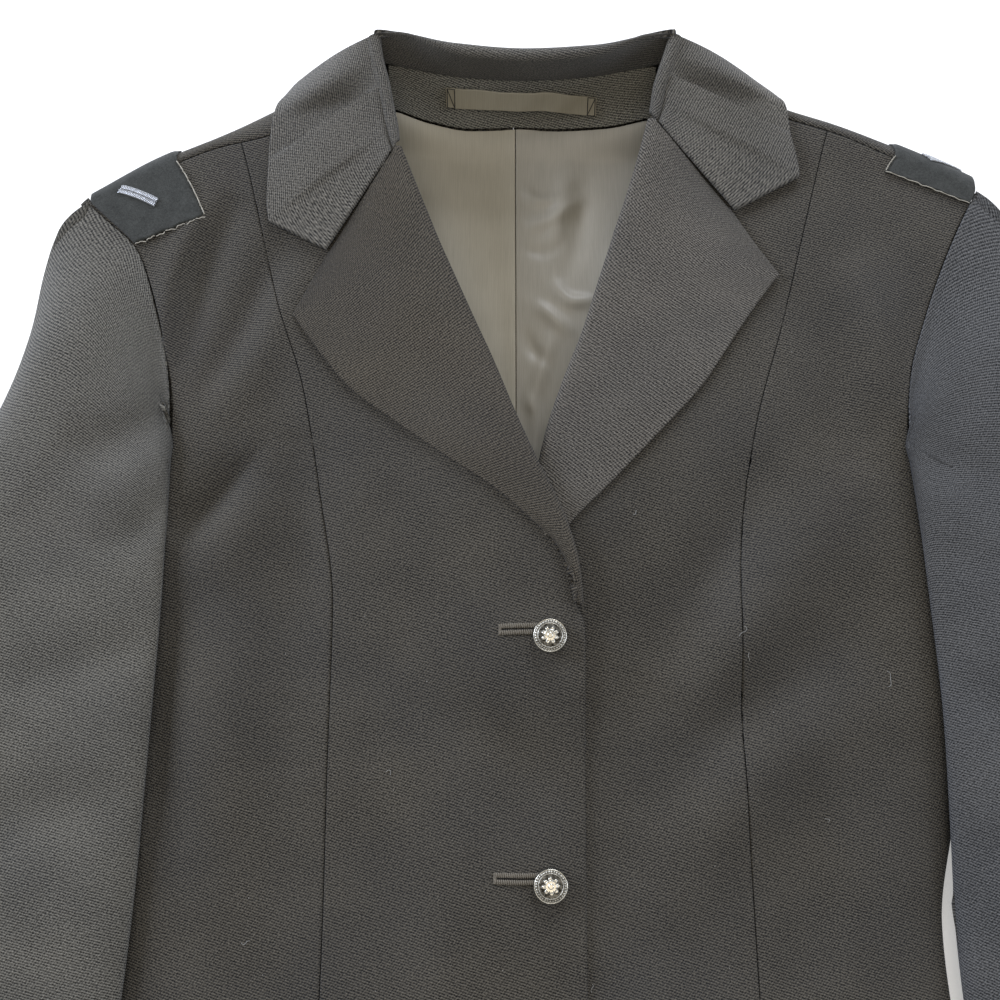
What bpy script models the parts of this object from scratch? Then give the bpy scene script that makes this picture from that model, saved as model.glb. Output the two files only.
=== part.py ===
"""Ladies' uniform jacket, buttoned and laid flat on its back.

Sizes are in millimetres until a mesh is made. "out" runs from the nape towards
a sleeve, "down" from the nape towards the hem, and height from the floor up.
The wearer's right is at -X, the collar is towards +Y and the front faces +Z.
"""

import math

import bpy
import numpy as np

MM = 0.001
SEAM_GAP = 0.3
SHOULDER_GAP = 0.6
NECK_CLEAR = 3.2
LAY_GAP = 0.5
CLOTH = 1.6
FACING = 1.8
COLLAR = 2.4
LINING = 1.0
FELT = 1.5
# The left lapel and the right lapel's tail, which lie between the two fronts
LAPELS_BETWEEN = 2 * (FACING + LAY_GAP) + 0.6

RIGHT, LEFT = -1, 1
SIDE_NAME = {RIGHT: "right", LEFT: "left"}
BODY_CENTRE = 5.0
CENTRE_BACK = -3.0

# How far down the panels' rows lie, closest about the lapels
LEVELS = np.array(
    [0, 12, 25, 38, 52, 66, 80, 94, 108, 122, 136, 150, 164, 178, 190, 201]
    + [212, 223, 234, 245, 257, 271.5, 290, 320, 350, 378.8, 420, 486, 555, 625.0]
)
BUTTON_LINE = 12.3
# Below this level the fronts and the back meet at the side seam
ARMHOLE_FOOT = 216
# The back's rows start at this level, and its floor is flat out to this share
BACK_FIRST_LEVEL = 80
BACK_FLAT_SHARE = 0.88
# Rounds in which a panel's x and down are fitted to one another
FITTING_ROUNDS = 14


def table(columns, *rows):
    """A table of numbers, as one array for each named column."""
    return dict(zip(columns.split(), np.array(rows, float).T))


# Height of the front's crown above the floor, and of the side seam
CROWN = table(
    "down crown side",
    (-20, 33, 14),
    (30, 34, 13),
    (80, 36, 12),
    (140, 37, 11),
    (200, 35, 10.5),
    (257, 31, 10),
    (320, 27, 9.5),
    (400, 22, 8.5),
    (500, 18, 7.5),
    (640, 14, 7),
)

# The side seam below the armhole, and above it the line that the roll follows
SIDE_SEAM = {
    RIGHT: table(
        "down out",
        (-20, 330),
        (60, 290),
        (120, 245),
        (181, 224),
        (216, 213),
        (300, 196),
        (400, 178),
        (480, 188),
        (640, 212),
    ),
    LEFT: table(
        "down out",
        (-20, 345),
        (60, 305),
        (120, 260),
        (181, 237),
        (216, 225),
        (300, 205),
        (354, 193),
        (396, 186),
        (480, 195),
        (640, 220),
    ),
}

PRINCESS = {
    RIGHT: table(
        "down out",
        (10, 142),
        (35, 133),
        (74, 123),
        (109, 115),
        (157, 100),
        (204, 92),
        (257, 85),
        (322, 86),
        (398, 87),
        (520, 92),
        (640, 98),
    ),
    LEFT: table(
        "down out",
        (5, 155),
        (28, 147),
        (72, 135),
        (123, 122),
        (176, 107),
        (223, 100),
        (257, 98),
        (311, 98),
        (387, 101),
        (520, 106),
        (640, 112),
    ),
}

# The front armhole, from the shoulder tip to the foot of the side-front's edge
ARMHOLE_FRONT = {
    RIGHT: table(
        "down out",
        (40, 226),
        (66, 205),
        (88, 181),
        (115, 170),
        (139, 164),
        (167, 160),
        (181, 160),
        (187, 168),
        (194, 180),
        (202, 194),
        (210, 206),
        (216, 213),
    ),
    LEFT: table(
        "down out",
        (40, 232),
        (60, 216),
        (78, 206),
        (98, 197),
        (125, 187),
        (153, 179),
        (181, 177),
        (187, 184),
        (194, 195),
        (202, 208),
        (210, 219),
        (216, 225),
    ),
}

ARMHOLE_BACK = {
    RIGHT: table(
        "down out",
        (30, 215),
        (66, 204),
        (95, 195),
        (120, 190),
        (150, 190),
        (180, 196),
        (205, 206),
        (216, 213),
    ),
    LEFT: table(
        "down out",
        (30, 224),
        (60, 215),
        (95, 206),
        (120, 202),
        (150, 202),
        (180, 208),
        (205, 218),
        (216, 225),
    ),
}

# The back's top edge: it turns up from the floor, over the outline of the
# shoulder, and forward to the shoulder seam
BACK_TOP = {
    RIGHT: table(
        "out outline seam seam_height turn turn_height",
        (0, -3.6, -2.6, 25, 46, 21),
        (32, -6.5, -4.5, 26.5, 42, 20),
        (64, -15, -10, 29.2, 32, 18),
        (90, -3, 12, 31, 24, 17),
        (117, 11, 30, 31.5, 19, 16),
        (146, 27, 38, 32, 17, 15),
        (173, 39, 50, 31, 16, 15),
        (204, 58, 66, 28, 14, 14),
        (240, 78, 84, 24, 14, 14),
    ),
    LEFT: table(
        "out outline seam seam_height turn turn_height",
        (0, -3.6, -2.6, 25, 46, 21),
        (35, -6.5, -4.5, 26.5, 42, 20),
        (67, -15, -10, 29.2, 32, 18),
        (96, -2, 9, 31, 24, 17),
        (127, 12, 22, 31.5, 19, 16),
        (151, 20, 30, 32, 17, 15),
        (179, 31, 43, 31, 16, 15),
        (216, 48, 60, 28, 14, 14),
        (250, 66, 78, 24, 14, 14),
    ),
}

# Where each lapel folds and where its edge lies, from the break to the gorge
LAPEL = {
    RIGHT: table(
        "roll_x roll_down edge_x edge_down",
        (27.5, 257, 24, 250),
        (26, 241, 15, 231),
        (21, 222, 3, 219),
        (14, 206, -12, 206),
        (6, 190, -32, 192),
        (-3, 170, -54, 176),
        (-13, 145, -79, 157),
        (-23, 122, -93, 140),
        (-34.5, 95.5, -103.9, 124.8),
        (-36, 92, -105.6, 122.6),
        (-37.3, 89, -104.5, 120.5),
        (-46, 67, -98, 108),
        (-56, 41, -90, 93),
    ),
    LEFT: table(
        "roll_x roll_down edge_x edge_down",
        (-3.5, 257, 1, 249),
        (-1, 240, 13, 233),
        (2, 220, 24, 218),
        (6, 200, 38, 204),
        (11, 178, 62, 179),
        (18, 157, 83, 156),
        (28, 131, 101, 129),
        (36, 106, 113, 112),
        (42, 87.5, 118.2, 105.1),
        (43, 84, 120, 102.9),
        (44.2, 80.5, 118.7, 100.9),
        (53, 53, 109, 87),
        (60, 27, 100, 73),
    ),
}

LAPEL_ROWS = 25

# How far each fold line stands above the front around it
ROLL_LIFT = table("down lift", (0, 10), (40, 9), (100, 6), (170, 3), (235, 1), (257, 0))

# How far the fall bows up, and the share of that at the gorges
COLLAR_BOW = 3.0
COLLAR_END_BOW = 0.8

# Collar sections from the right gorge round the nape to the left gorge. The
# fold is the crest; the neck seam is inside it and the outer edge below it
COLLAR_SECTIONS = table(
    "seam_x seam_down seam_height fold_x fold_down fold_height edge_x edge_down edge_height",
    (-63.6, 41.6, 39.2, -57, 37, 46.5, -90.8, 90.8, 0),
    (-63.8, 38.5, 38.6, -57.2, 33, 46.8, -115.2, 78.4, 0),
    (-64, 37.4, 38.5, -57.4, 31.6, 47, -117.9, 76.6, 0),
    (-64.3, 35.6, 38.3, -57.8, 29.4, 47.3, -118.6, 73.4, 0),
    (-65, 30, 37.5, -59, 24, 48, -119.4, 66, 0),
    (-67, 15, 36, -62, 9, 50, -119.4, 46, 0),
    (-68, 2, 34, -65, -3, 51, -118, 22, 33),
    (-67, -7, 32, -66, -12, 52, -112, -2, 18),
    (-50, -4, 30, -54, -10, 53, -78, -24, 8),
    (-28, -1, 28, -29, -1, 54, -34, -18, 5),
    (2, 0.5, 27.5, 2, 2, 54, 2, -12, 5),
    (32, -1, 28, 33, 0, 54, 38, -18, 5),
    (54, -4, 30, 58, -9, 53, 84, -24, 8),
    (71, -7, 32, 70, -12, 52, 118, -4, 18),
    (72, 0, 34, 68, -5, 51, 127, 16, 32),
    (71, 10, 36, 65, 4, 50, 128.6, 32, 0),
    (68.6, 19, 37.3, 62.4, 12.5, 48.2, 130.8, 44, 0),
    (68.1, 22.6, 38, 61.8, 16.5, 47.4, 131.6, 51.2, 0),
    (68, 24, 38.3, 61.6, 18, 47.1, 131.2, 54, 0),
    (67.9, 25, 38.5, 61.4, 19.2, 46.9, 129, 55.5, 0),
    (67.7, 28.6, 39.2, 60.8, 23, 46.5, 100.6, 70.8, 0),
)

# The sleeve's inner crease and outer edge, from the armhole to the cuff
SLEEVE = {
    RIGHT: table(
        "inner inner_down outer outer_down crown edge join",
        (160.5, 181, 206, 65, 36, 24, 0),
        (161, 184, 219, 77, 37, 18, 0.06),
        (161.5, 188, 228, 96, 38, 14, 0.14),
        (162, 194, 235, 125, 39, 11, 0.26),
        (162.5, 204, 246, 158, 39, 9, 0.42),
        (163.5, 223, 266, 196, 38.5, 8, 0.64),
        (165, 256, 285, 240, 37, 8, 0.86),
        (168, 305, 297, 292, 34.5, 7, 1),
        (171.5, 360, 303, 350, 31.5, 7, 1),
        (175.5, 420, 303, 412, 28, 7, 1),
        (180, 480, 301, 474, 24.5, 6, 1),
        (188, 545, 297, 540, 21, 6, 1),
        (190, 612, 292, 606, 18, 6, 1),
    ),
    LEFT: table(
        "inner inner_down outer outer_down crown edge join",
        (177.5, 181, 217, 59, 36, 24, 0),
        (178, 184, 230, 71, 37, 18, 0.06),
        (179, 188, 239, 90, 38, 14, 0.14),
        (180, 194, 246, 118, 39, 11, 0.26),
        (181.5, 205, 257, 150, 39, 9, 0.42),
        (184, 225, 278, 190, 38, 8, 0.64),
        (187.5, 260, 298, 234, 36.5, 8, 0.86),
        (191.5, 308, 311, 288, 34, 7, 1),
        (193, 362, 317, 348, 31, 7, 1),
        (194.5, 422, 318, 411, 28, 7, 1),
        (201, 482, 316, 474, 24.5, 6, 1),
        (207, 546, 313, 540, 21, 6, 1),
        (212, 613, 310, 606, 18, 6, 1),
    ),
}

# The armhole once round as turns of half a circle: 0 at the shoulder tip, 1 at
# the crease in front, then under the arm and up the back to 2
ARMHOLE_LOOP = {
    RIGHT: table(
        "turn out down rise",
        (0.0, 206.5, 65, 1),
        (0.2, 194.5, 76, 1),
        (0.4, 182, 88, 1),
        (0.6, 171.8, 115, 1),
        (0.75, 165.7, 139, 1),
        (0.9, 161.7, 167, 1),
        (1.0, 161.5, 182, 1),
        (1.1, 171, 188.5, 1),
        (1.2, 183.5, 195.5, 1),
        (1.32, 199.5, 205, 1),
        (1.42, 215.5, 217.5, 1),
        (1.5, 209.2, 203, 0.35),
        (1.62, 199.2, 178, 0),
        (1.75, 193.2, 148, 0),
        (1.88, 194.2, 112, 0.12),
        (1.95, 200.2, 86, 0.5),
        (2.0, 207, 65, 1),
    ),
    LEFT: table(
        "turn out down rise",
        (0.0, 217.5, 59, 1),
        (0.2, 208.5, 76, 1),
        (0.4, 198.5, 98, 1),
        (0.6, 188.3, 125, 1),
        (0.75, 181.5, 147, 1),
        (0.9, 178.2, 168, 1),
        (1.0, 178, 182, 1),
        (1.1, 187, 188.5, 1),
        (1.2, 198.5, 195.5, 1),
        (1.32, 213.5, 205, 1),
        (1.42, 227.5, 217.5, 1),
        (1.5, 221.2, 203, 0.35),
        (1.62, 211.2, 178, 0),
        (1.75, 205.2, 148, 0),
        (1.88, 206.2, 112, 0.12),
        (1.95, 212.2, 84, 0.5),
        (2.0, 217.5, 59, 1),
    ),
}
SLEEVE_SEAMS = (-0.16, 1.16, 1.84)
SLEEVE_CLEAR = 6.5
# Half the gap at a sleeve's seams, as a share of half a turn
SLEEVE_PART = 0.005

# Soft folds pressed into the fronts, as lines with a depth and a half width
FOLDS = table(
    "start_x start_down end_x end_down depth half_width",
    (-132, 62, -160, 150, 3.0, 11),
    (-112, 84, -154, 158, 2.4, 10),
    (-128, 190, -158, 228, 2.2, 10),
    (-62, 200, 8, 266, 1.6, 18),
    (120, 236, 152, 330, 1.8, 24),
)

# Shoulder patches: the outer and the neck-side edge, each from the patch's
# front corner to where it meets the shoulder seam
PATCH = {
    RIGHT: table("front_out front_down seam_out", (181, 86.5, 201.5), (148.5, 72.5, 163)),
    LEFT: table("front_out front_down seam_out", (212, 66, 214.5), (173, 50, 178)),
}
PATCH_FAR_SIDE = 2.5
# How much of the back's turn-up the patch covers for each unit of across
PATCH_DROP = 0.62

# Rank bars on the patches: along is 0 at the outer edge and 1 at the neck side,
# across is 0 at the front edge, 1 at the shoulder seam and more behind it. The
# half columns are half the bar's width on those same measures
RANK_BAR = {
    RIGHT: table("along across half_along half_across", (0.33, 0.94, 0.05, 0.05), (0.55, 0.41, 0.05, 0.05)),
    LEFT: table("along across half_along half_across", (0.16, 2.10, 0.06, 0.13), (0.60, 1.55, 0.06, 0.13)),
}
BAR_THICK = 0.9

BUTTON_RADIUS = 7.7
BUTTON_DOWNS = (271.5, 378.8, 486.0)
BUTTON_STANDOFF = 0.4
BUTTON_PROFILE = table(
    "radius height",
    (0.32, 0.0),
    (0.34, 1.6),
    (0.80, 1.9),
    (0.97, 2.3),
    (1.0, 2.8),
    (0.96, 3.3),
    (0.86, 3.4),
    (0.80, 3.3),
    (0.60, 4.3),
    (0.30, 5.0),
)
BUTTON_SIDES = 16

# The neck facing's top edge, under the collar's stand, and its foot
NECK_FACING = table(
    "x top_down top_height foot_down foot_height",
    (-60, -5, 29, 10, 17.5),
    (-44, -2.5, 28, 13.5, 12),
    (-25, -0.3, 27, 16, 9.2),
    (0, 1.2, 26.3, 15, 8.3),
    (20, 0.6, 26.5, 16, 8.8),
    (42, -1, 27.5, 16, 11.5),
    (62, -4, 29, 14.5, 17.5),
)
FACING_THIN = 1.2

# Where the satin lining starts below the neck facing, and where it ends
LINING_TOP = table("out down", (0, 15.8), (22, 17), (44, 17), (60, 20), (80, 27), (98, 36))
LINING_OUT = 98.0
LINING_DOWN = 330.0

# The hanger loop on the neck facing: its place down the facing's slope
LOOP_LINE = table("x share", (-36, 0.36), (-12, 0.30), (10, 0.30), (26, 0.42), (37.5, 0.52))
LOOP_HALF_SHARE = 0.19
LOOP_THICK = 1.0
LOOP_BOW = 2.4

# The edge of each centre front: the neck, the fold of the lapel, and the edge
# below the break
CENTRE_EDGE = {
    RIGHT: table(
        "down x",
        (-15, -78),
        (0, -76),
        (20, -72),
        (41, -66),
        (67, -51.5),
        (92, -40.8),
        (122, -27.8),
        (145, -17.8),
        (170, -7.8),
        (190, 1.2),
        (206, 9.2),
        (222, 16.2),
        (241, 21.8),
        (257, 24.5),
        (268, 28),
        (640, 28),
    ),
    LEFT: table(
        "down x",
        (-15, 80),
        (0, 78.5),
        (14, 75),
        (27, 70),
        (53, 58.6),
        (84, 47.8),
        (106, 40.8),
        (131, 32.8),
        (157, 22.8),
        (178, 15.8),
        (200, 10.4),
        (220, 6.2),
        (240, 3),
        (257, 0.4),
        (268, -4),
        (640, -4),
    ),
}

COLOURS = {
    "wool": ((0.030, 0.031, 0.034), 0.85, 0.0),
    "satin": ((0.105, 0.098, 0.088), 0.42, 0.0),
    "tape": ((0.075, 0.072, 0.062), 0.45, 0.0),
    "felt": ((0.022, 0.023, 0.026), 0.95, 0.0),
    "silver_braid": ((0.62, 0.63, 0.64), 0.38, 0.8),
    "button_metal": ((0.72, 0.72, 0.70), 0.28, 1.0),
}


def curve(rows, column, at):
    """A smooth curve through one column of a table, with no overshoot.

    The slopes are Fritsch and Carlson's: the harmonic mean of the two spans
    beside a row, or nothing where the column turns.
    """
    knots = next(iter(rows.values()))
    values = rows[column]
    widths = np.diff(knots)
    spans = np.diff(values) / widths
    before, after = spans[:-1], spans[1:]
    turning = before * after <= 0
    mean = 2 * before * after / np.where(turning, 1, before + after)
    slopes = np.concatenate([spans[:1], np.where(turning, 0, mean), spans[-1:]])
    at = np.clip(np.asarray(at, float), knots[0], knots[-1])
    row = np.clip(np.searchsorted(knots, at) - 1, 0, len(widths) - 1)
    width = widths[row]
    q = (at - knots[row]) / width
    return (
        values[row] * (1 + 2 * q) * (1 - q) ** 2
        + slopes[row] * width * q * (1 - q) ** 2
        + values[row + 1] * q * q * (3 - 2 * q)
        + slopes[row + 1] * width * q * q * (q - 1)
    )


def smooth(q):
    """0 below 0, 1 above 1, and an even S between them."""
    q = np.clip(q, 0, 1)
    return q * q * (3 - 2 * q)


def blend(a, b, share):
    return a + (b - a) * share


def higher(a, b, softness=1.0):
    """The higher of two heights, with the corner between them rounded upwards."""
    return (a + b + np.sqrt((a - b) ** 2 + softness**2)) / 2


def points(x, y, height):
    return np.stack(np.broadcast_arrays(x, y, height), axis=-1).astype(float)


def half_width(x, down):
    """Distance from the body's middle to the line that its sides roll to."""
    right = BODY_CENTRE + curve(SIDE_SEAM[RIGHT], "out", down)
    left = curve(SIDE_SEAM[LEFT], "out", down) - BODY_CENTRE
    return np.where(x < BODY_CENTRE, right, left)


def line_distance(x, down, line_x, line_down, count=60):
    """How far each place is from a smooth line, and how far along the line."""
    steps = np.linspace(0, 1, len(line_x))
    rows = {"step": steps, "x": np.array(line_x), "down": np.array(line_down)}
    along = np.linspace(0, 1, count)
    dx = np.asarray(x)[..., None] - curve(rows, "x", along)
    dy = np.asarray(down)[..., None] - curve(rows, "down", along)
    away = np.hypot(dx, dy)
    return away.min(axis=-1), along[away.argmin(axis=-1)]


def lifted_by_rolls(x, down):
    """Rise of a front towards the line that its lapel folds on."""
    total = 0.0
    for side in (RIGHT, LEFT):
        rows = LAPEL[side]
        away, along = line_distance(x, down, rows["roll_x"], rows["roll_down"])
        steps = {"step": np.linspace(0, 1, len(rows["roll_x"])), "down": rows["roll_down"]}
        lift = curve(ROLL_LIFT, "lift", curve(steps, "down", along))
        total = np.maximum(total, lift * np.exp(-((away / 30.0) ** 2)))
    return total


def pressed_by_folds(x, down):
    """Depth of the soft folds, strongest half way along each."""
    total = 0.0
    for i in range(len(FOLDS["depth"])):
        ends_x = blend(FOLDS["start_x"][i], FOLDS["end_x"][i], np.linspace(0, 1, 3))
        ends_down = blend(FOLDS["start_down"][i], FOLDS["end_down"][i], np.linspace(0, 1, 3))
        away, along = line_distance(x, down, ends_x, ends_down, 30)
        fade = np.sin(np.pi * np.clip(along, 0.0, 1.0)) ** 0.7
        total = total + FOLDS["depth"][i] * fade * np.exp(-((away / FOLDS["half_width"][i]) ** 2))
    return total


def lapped(x, down):
    """Rise of the right front over the left front and, higher up, over its lapel."""
    over_front = (CLOTH + LAY_GAP) * smooth((x + 56) / 46)
    away, _ = line_distance(x, down, (8, 6, 4, 2), (192, 212, 232, 256), 30)
    return over_front + LAPELS_BETWEEN * (1 - smooth((away - 16) / 62))


def front_height(x, down):
    """Top of the left front's layer, and of both side fronts.

    A squared-off arch across the body: side seam height plus the crown's rise
    times (1 - u^4)^(1/2.2), where u is the distance from the middle as a share
    of the half width.
    """
    u = np.clip(np.abs(x - BODY_CENTRE) / half_width(x, down), 0, 1)
    side = curve(CROWN, "side", down)
    arch = (1 - u**4) ** (1 / 2.2)
    height = side + (curve(CROWN, "crown", down) - side) * arch
    return height + (lifted_by_rolls(x, down) - pressed_by_folds(x, down)) * arch


def side_height(x, down, side):
    lap = lapped(x, down) if side == RIGHT else 0.0
    return front_height(x, down) + lap


def normals(grid):
    """Unit normals of a grid, from the differences of neighbouring points."""
    rows = np.gradient(grid, axis=0, edge_order=2)
    columns = np.gradient(grid, axis=1, edge_order=2)
    normal = np.cross(rows, columns)
    return normal / np.maximum(np.linalg.norm(normal, axis=-1, keepdims=True), 1e-9)


def wall_faces(rows, columns):
    """Quads of a closed wall: outer face, inner face, and the four edges."""
    outer = np.arange(rows * columns).reshape(rows, columns)
    inner = outer + rows * columns

    def quads(a, b, c, d):
        return np.stack([a, b, c, d], axis=-1).reshape(-1, 4)

    faces = [
        quads(outer[:-1, :-1], outer[1:, :-1], outer[1:, 1:], outer[:-1, 1:]),
        quads(inner[:-1, :-1], inner[:-1, 1:], inner[1:, 1:], inner[1:, :-1]),
    ]
    rim = np.concatenate([outer[0], outer[1:, -1], outer[-1, -2::-1], outer[-2:0:-1, 0]])
    inner_rim = rim + rows * columns
    faces.append(quads(rim, np.roll(rim, -1), np.roll(inner_rim, -1), inner_rim))
    return np.concatenate(faces)


def material(name):
    found = bpy.data.materials.get(name)
    if found:
        return found
    colour, roughness, metallic = COLOURS[name]
    made = bpy.data.materials.new(name)
    made.use_nodes = True
    shader = made.node_tree.nodes["Principled BSDF"]
    shader.inputs["Base Color"].default_value = (*colour, 1)
    shader.inputs["Roughness"].default_value = roughness
    shader.inputs["Metallic"].default_value = metallic
    return made


def add_object(name, places, faces, finish):
    """One named object from points in millimetres and quads or triangles."""
    mesh = bpy.data.meshes.new(name)
    mesh.from_pydata((places * MM).tolist(), [], [list(face) for face in faces])
    mesh.materials.append(material(finish))
    mesh.shade_smooth()
    mesh.set_sharp_from_angle(angle=math.radians(50))
    made = bpy.data.objects.new(name, mesh)
    bpy.context.scene.collection.objects.link(made)
    return made


# How an edge's normals are squared, so that two panels' edges stay parallel
UPRIGHT = (0, 0, 1)
SIDEWAYS = (1, 1, 0)


def turned_to(normal, where, share):
    """The normals with their parts along x, y and z scaled at some places."""
    changed = normal.copy()
    changed[where] = changed[where] * np.array(share, float)
    return changed / np.maximum(np.linalg.norm(changed, axis=-1, keepdims=True), 1e-9)


def add_wall(name, outer, thickness, finish, normal=None):
    """A closed wall of one thickness behind a grid.

    The inner face lies against the normal, so the grid's outer side is the one
    that its normals point to.
    """
    inner = outer - (normals(outer) if normal is None else normal) * thickness
    places = np.concatenate([outer.reshape(-1, 3), inner.reshape(-1, 3)])
    return add_object(name, places, wall_faces(*outer.shape[:2]), finish)


def row_downs(side, out):
    """How far down each row of a panel lies: level below, and bent up to the
    shoulder seam towards the top."""
    top = curve(BACK_TOP[side], "seam", out) + SHOULDER_GAP / 2
    top = top + NECK_CLEAR * (1 - smooth((out - 78) / 16))
    return LEVELS[:, None] + top * (1 - smooth(LEVELS[:, None] / 150))


def evenly(side, start, stop, share, down):
    """x between two edges, in even steps."""
    return blend(start, stop, share)


def round_the_side(side, start, stop, share, down):
    """x between two edges, in even steps of the angle whose sine is the square
    of the distance out, so that the steps close up where a panel rolls over."""
    wide = half_width(start, down)
    angles = [
        np.arcsin(np.clip((edge - BODY_CENTRE) * side / wide, 0, 1) ** 2)
        for edge in (start, stop)
    ]
    return BODY_CENTRE + side * wide * np.sqrt(np.sin(blend(*angles, share)))


def panel(side, inner_edge, outer_edge, columns, spaced, gap_in, gap_out):
    """Places of a front panel from the shoulder seam to the hem, as x and down.

    Each row runs between two edges that are functions of down. The rows start
    on the shoulder seam, so x and down are found together, in a few rounds.
    """
    share = np.linspace(0, 1, columns)[None, :]
    down = LEVELS[:, None] + 0 * share
    for _ in range(FITTING_ROUNDS):
        start = inner_edge(down) + side * gap_in
        stop = outer_edge(down) - side * gap_out
        x = spaced(side, start, stop, share, down)
        down = row_downs(side, np.abs(x))
    return x, down


def facing_up(grid, side):
    """The grid with its columns in the order that makes the normals face up."""
    return grid if side == LEFT else grid[:, ::-1]


def add_fronts(side):
    name = SIDE_NAME[side]

    def centre(down):
        return curve(CENTRE_EDGE[side], "x", down)

    def princess(down):
        return side * curve(PRINCESS[side], "out", down)

    def outside(down):
        armhole = curve(ARMHOLE_FRONT[side], "out", down)
        seam = curve(SIDE_SEAM[side], "out", down)
        return side * np.where(down < ARMHOLE_FOOT, armhole, seam)

    x, down = panel(side, centre, princess, 9, evenly, 0, SEAM_GAP / 2)
    grid = facing_up(points(x, -down, side_height(x, down, side)), side)
    normal = turned_to(normals(grid), (0, slice(None)), UPRIGHT)
    add_wall(f"front_{name}", grid, CLOTH, "wool", normal)
    x, down = panel(side, princess, outside, 10, round_the_side, SEAM_GAP / 2, 0)
    grid = facing_up(points(x, -down, side_height(x, down, side)), side)
    normal = turned_to(normals(grid), (0, slice(None)), UPRIGHT)
    normal = turned_to(normal, (LEVELS >= ARMHOLE_FOOT, -1 if side == LEFT else 0), SIDEWAYS)
    add_wall(f"side_front_{name}", grid, CLOTH, "wool", normal)


def seam_height(side, out):
    """Height of the shoulder seam, or of the back neck seam near the middle."""
    rows = BACK_TOP[side]
    front = front_height(side * out, curve(rows, "seam", out))
    return blend(curve(rows, "seam_height", out), front, smooth((out - 64) / 16))


def back_rise(side, out, rise):
    """A place on the turned-up top of the back: down and height.

    rise runs from 0 on the floor to 1 at the outline, a quarter of an ellipse,
    and on to 2 at the seam, a second quarter.
    """
    rows = BACK_TOP[side]
    outline, turn = curve(rows, "outline", out), curve(rows, "turn", out)
    middle, seam = curve(rows, "turn_height", out), curve(rows, "seam", out)
    lower, upper = np.clip(rise, 0, 1) * np.pi / 2, np.clip(rise - 1, 0, 1) * np.pi / 2
    down = outline + turn * (1 - np.sin(lower)) + (seam - outline) * (1 - np.cos(upper))
    height = middle * (1 - np.cos(lower)) + (seam_height(side, out) - middle) * np.sin(upper)
    return down, height


def add_back(side):
    """Half of the back: flat on the floor, rolled up at the side and the top."""
    rows = BACK_TOP[side]
    share = np.linspace(0, 1, 11)[None, :]
    levels = LEVELS[LEVELS >= BACK_FIRST_LEVEL][::-1, None]
    middle = side * CENTRE_BACK + SEAM_GAP / 2
    down = levels + 0 * share
    for _ in range(FITTING_ROUNDS):
        armhole = curve(ARMHOLE_BACK[side], "out", down)
        seam = curve(SIDE_SEAM[side], "out", down)
        edge = np.where(down < ARMHOLE_FOOT, armhole, seam)
        out = blend(middle, edge, 1 - (1 - share) ** 1.35)
        foot = curve(rows, "outline", np.abs(out)) + curve(rows, "turn", np.abs(out))
        down = levels + (foot - levels[-1]) * (1 - smooth((levels - levels[-1]) / 110))
    u = np.abs(side * out - BODY_CENTRE) / half_width(side * out, down)
    roll = np.clip((u - BACK_FLAT_SHARE) / (1 - BACK_FLAT_SHARE), 0, 1)
    height = (curve(CROWN, "side", down) - SEAM_GAP) * (1 - np.sqrt(1 - roll**2))
    floor = points(side * out, -down, height)
    last = out[-1:, :]
    rise = np.array([0.3, 0.55, 0.78, 1.0, 1.25, 1.5, 1.75, 2.0])[:, None]
    up_down, up_height = back_rise(side, np.abs(last), rise)
    up_down = up_down - SHOULDER_GAP / 2 * smooth(rise - 1)
    top = points(side * last + 0 * rise, -up_down, up_height)
    grid = facing_up(np.concatenate([floor, top]), side)
    normal = turned_to(normals(grid), (-1, slice(None)), UPRIGHT)
    below = np.concatenate([levels[:, 0] >= ARMHOLE_FOOT, np.zeros(len(top), bool)])
    normal = turned_to(normal, (below, -1 if side == LEFT else 0), SIDEWAYS)
    add_wall(f"back_{SIDE_NAME[side]}", grid, CLOTH, "wool", normal)


def armhole_foot(side, out):
    """How far down the front armhole's seam lies at a distance out."""
    rows = ARMHOLE_FRONT[side]
    low = rows["down"] >= 181
    return curve({"out": rows["out"][low], "down": rows["down"][low]}, "down", out)


def support(side, out, down):
    """Top of what lies under a sleeve: the body's side, the back, or the floor."""
    out = out - SLEEVE_CLEAR
    edge = curve(SIDE_SEAM[side], "out", down)
    inside = front_height(side * np.minimum(out, edge), down)
    beyond = curve(CROWN, "side", down) * (1 - smooth((out - edge) / 14))
    body = np.where(out < edge, inside, beyond)
    near = smooth(1 + (down - armhole_foot(side, out)) / 45)
    return blend(0.0, body, near)


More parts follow.
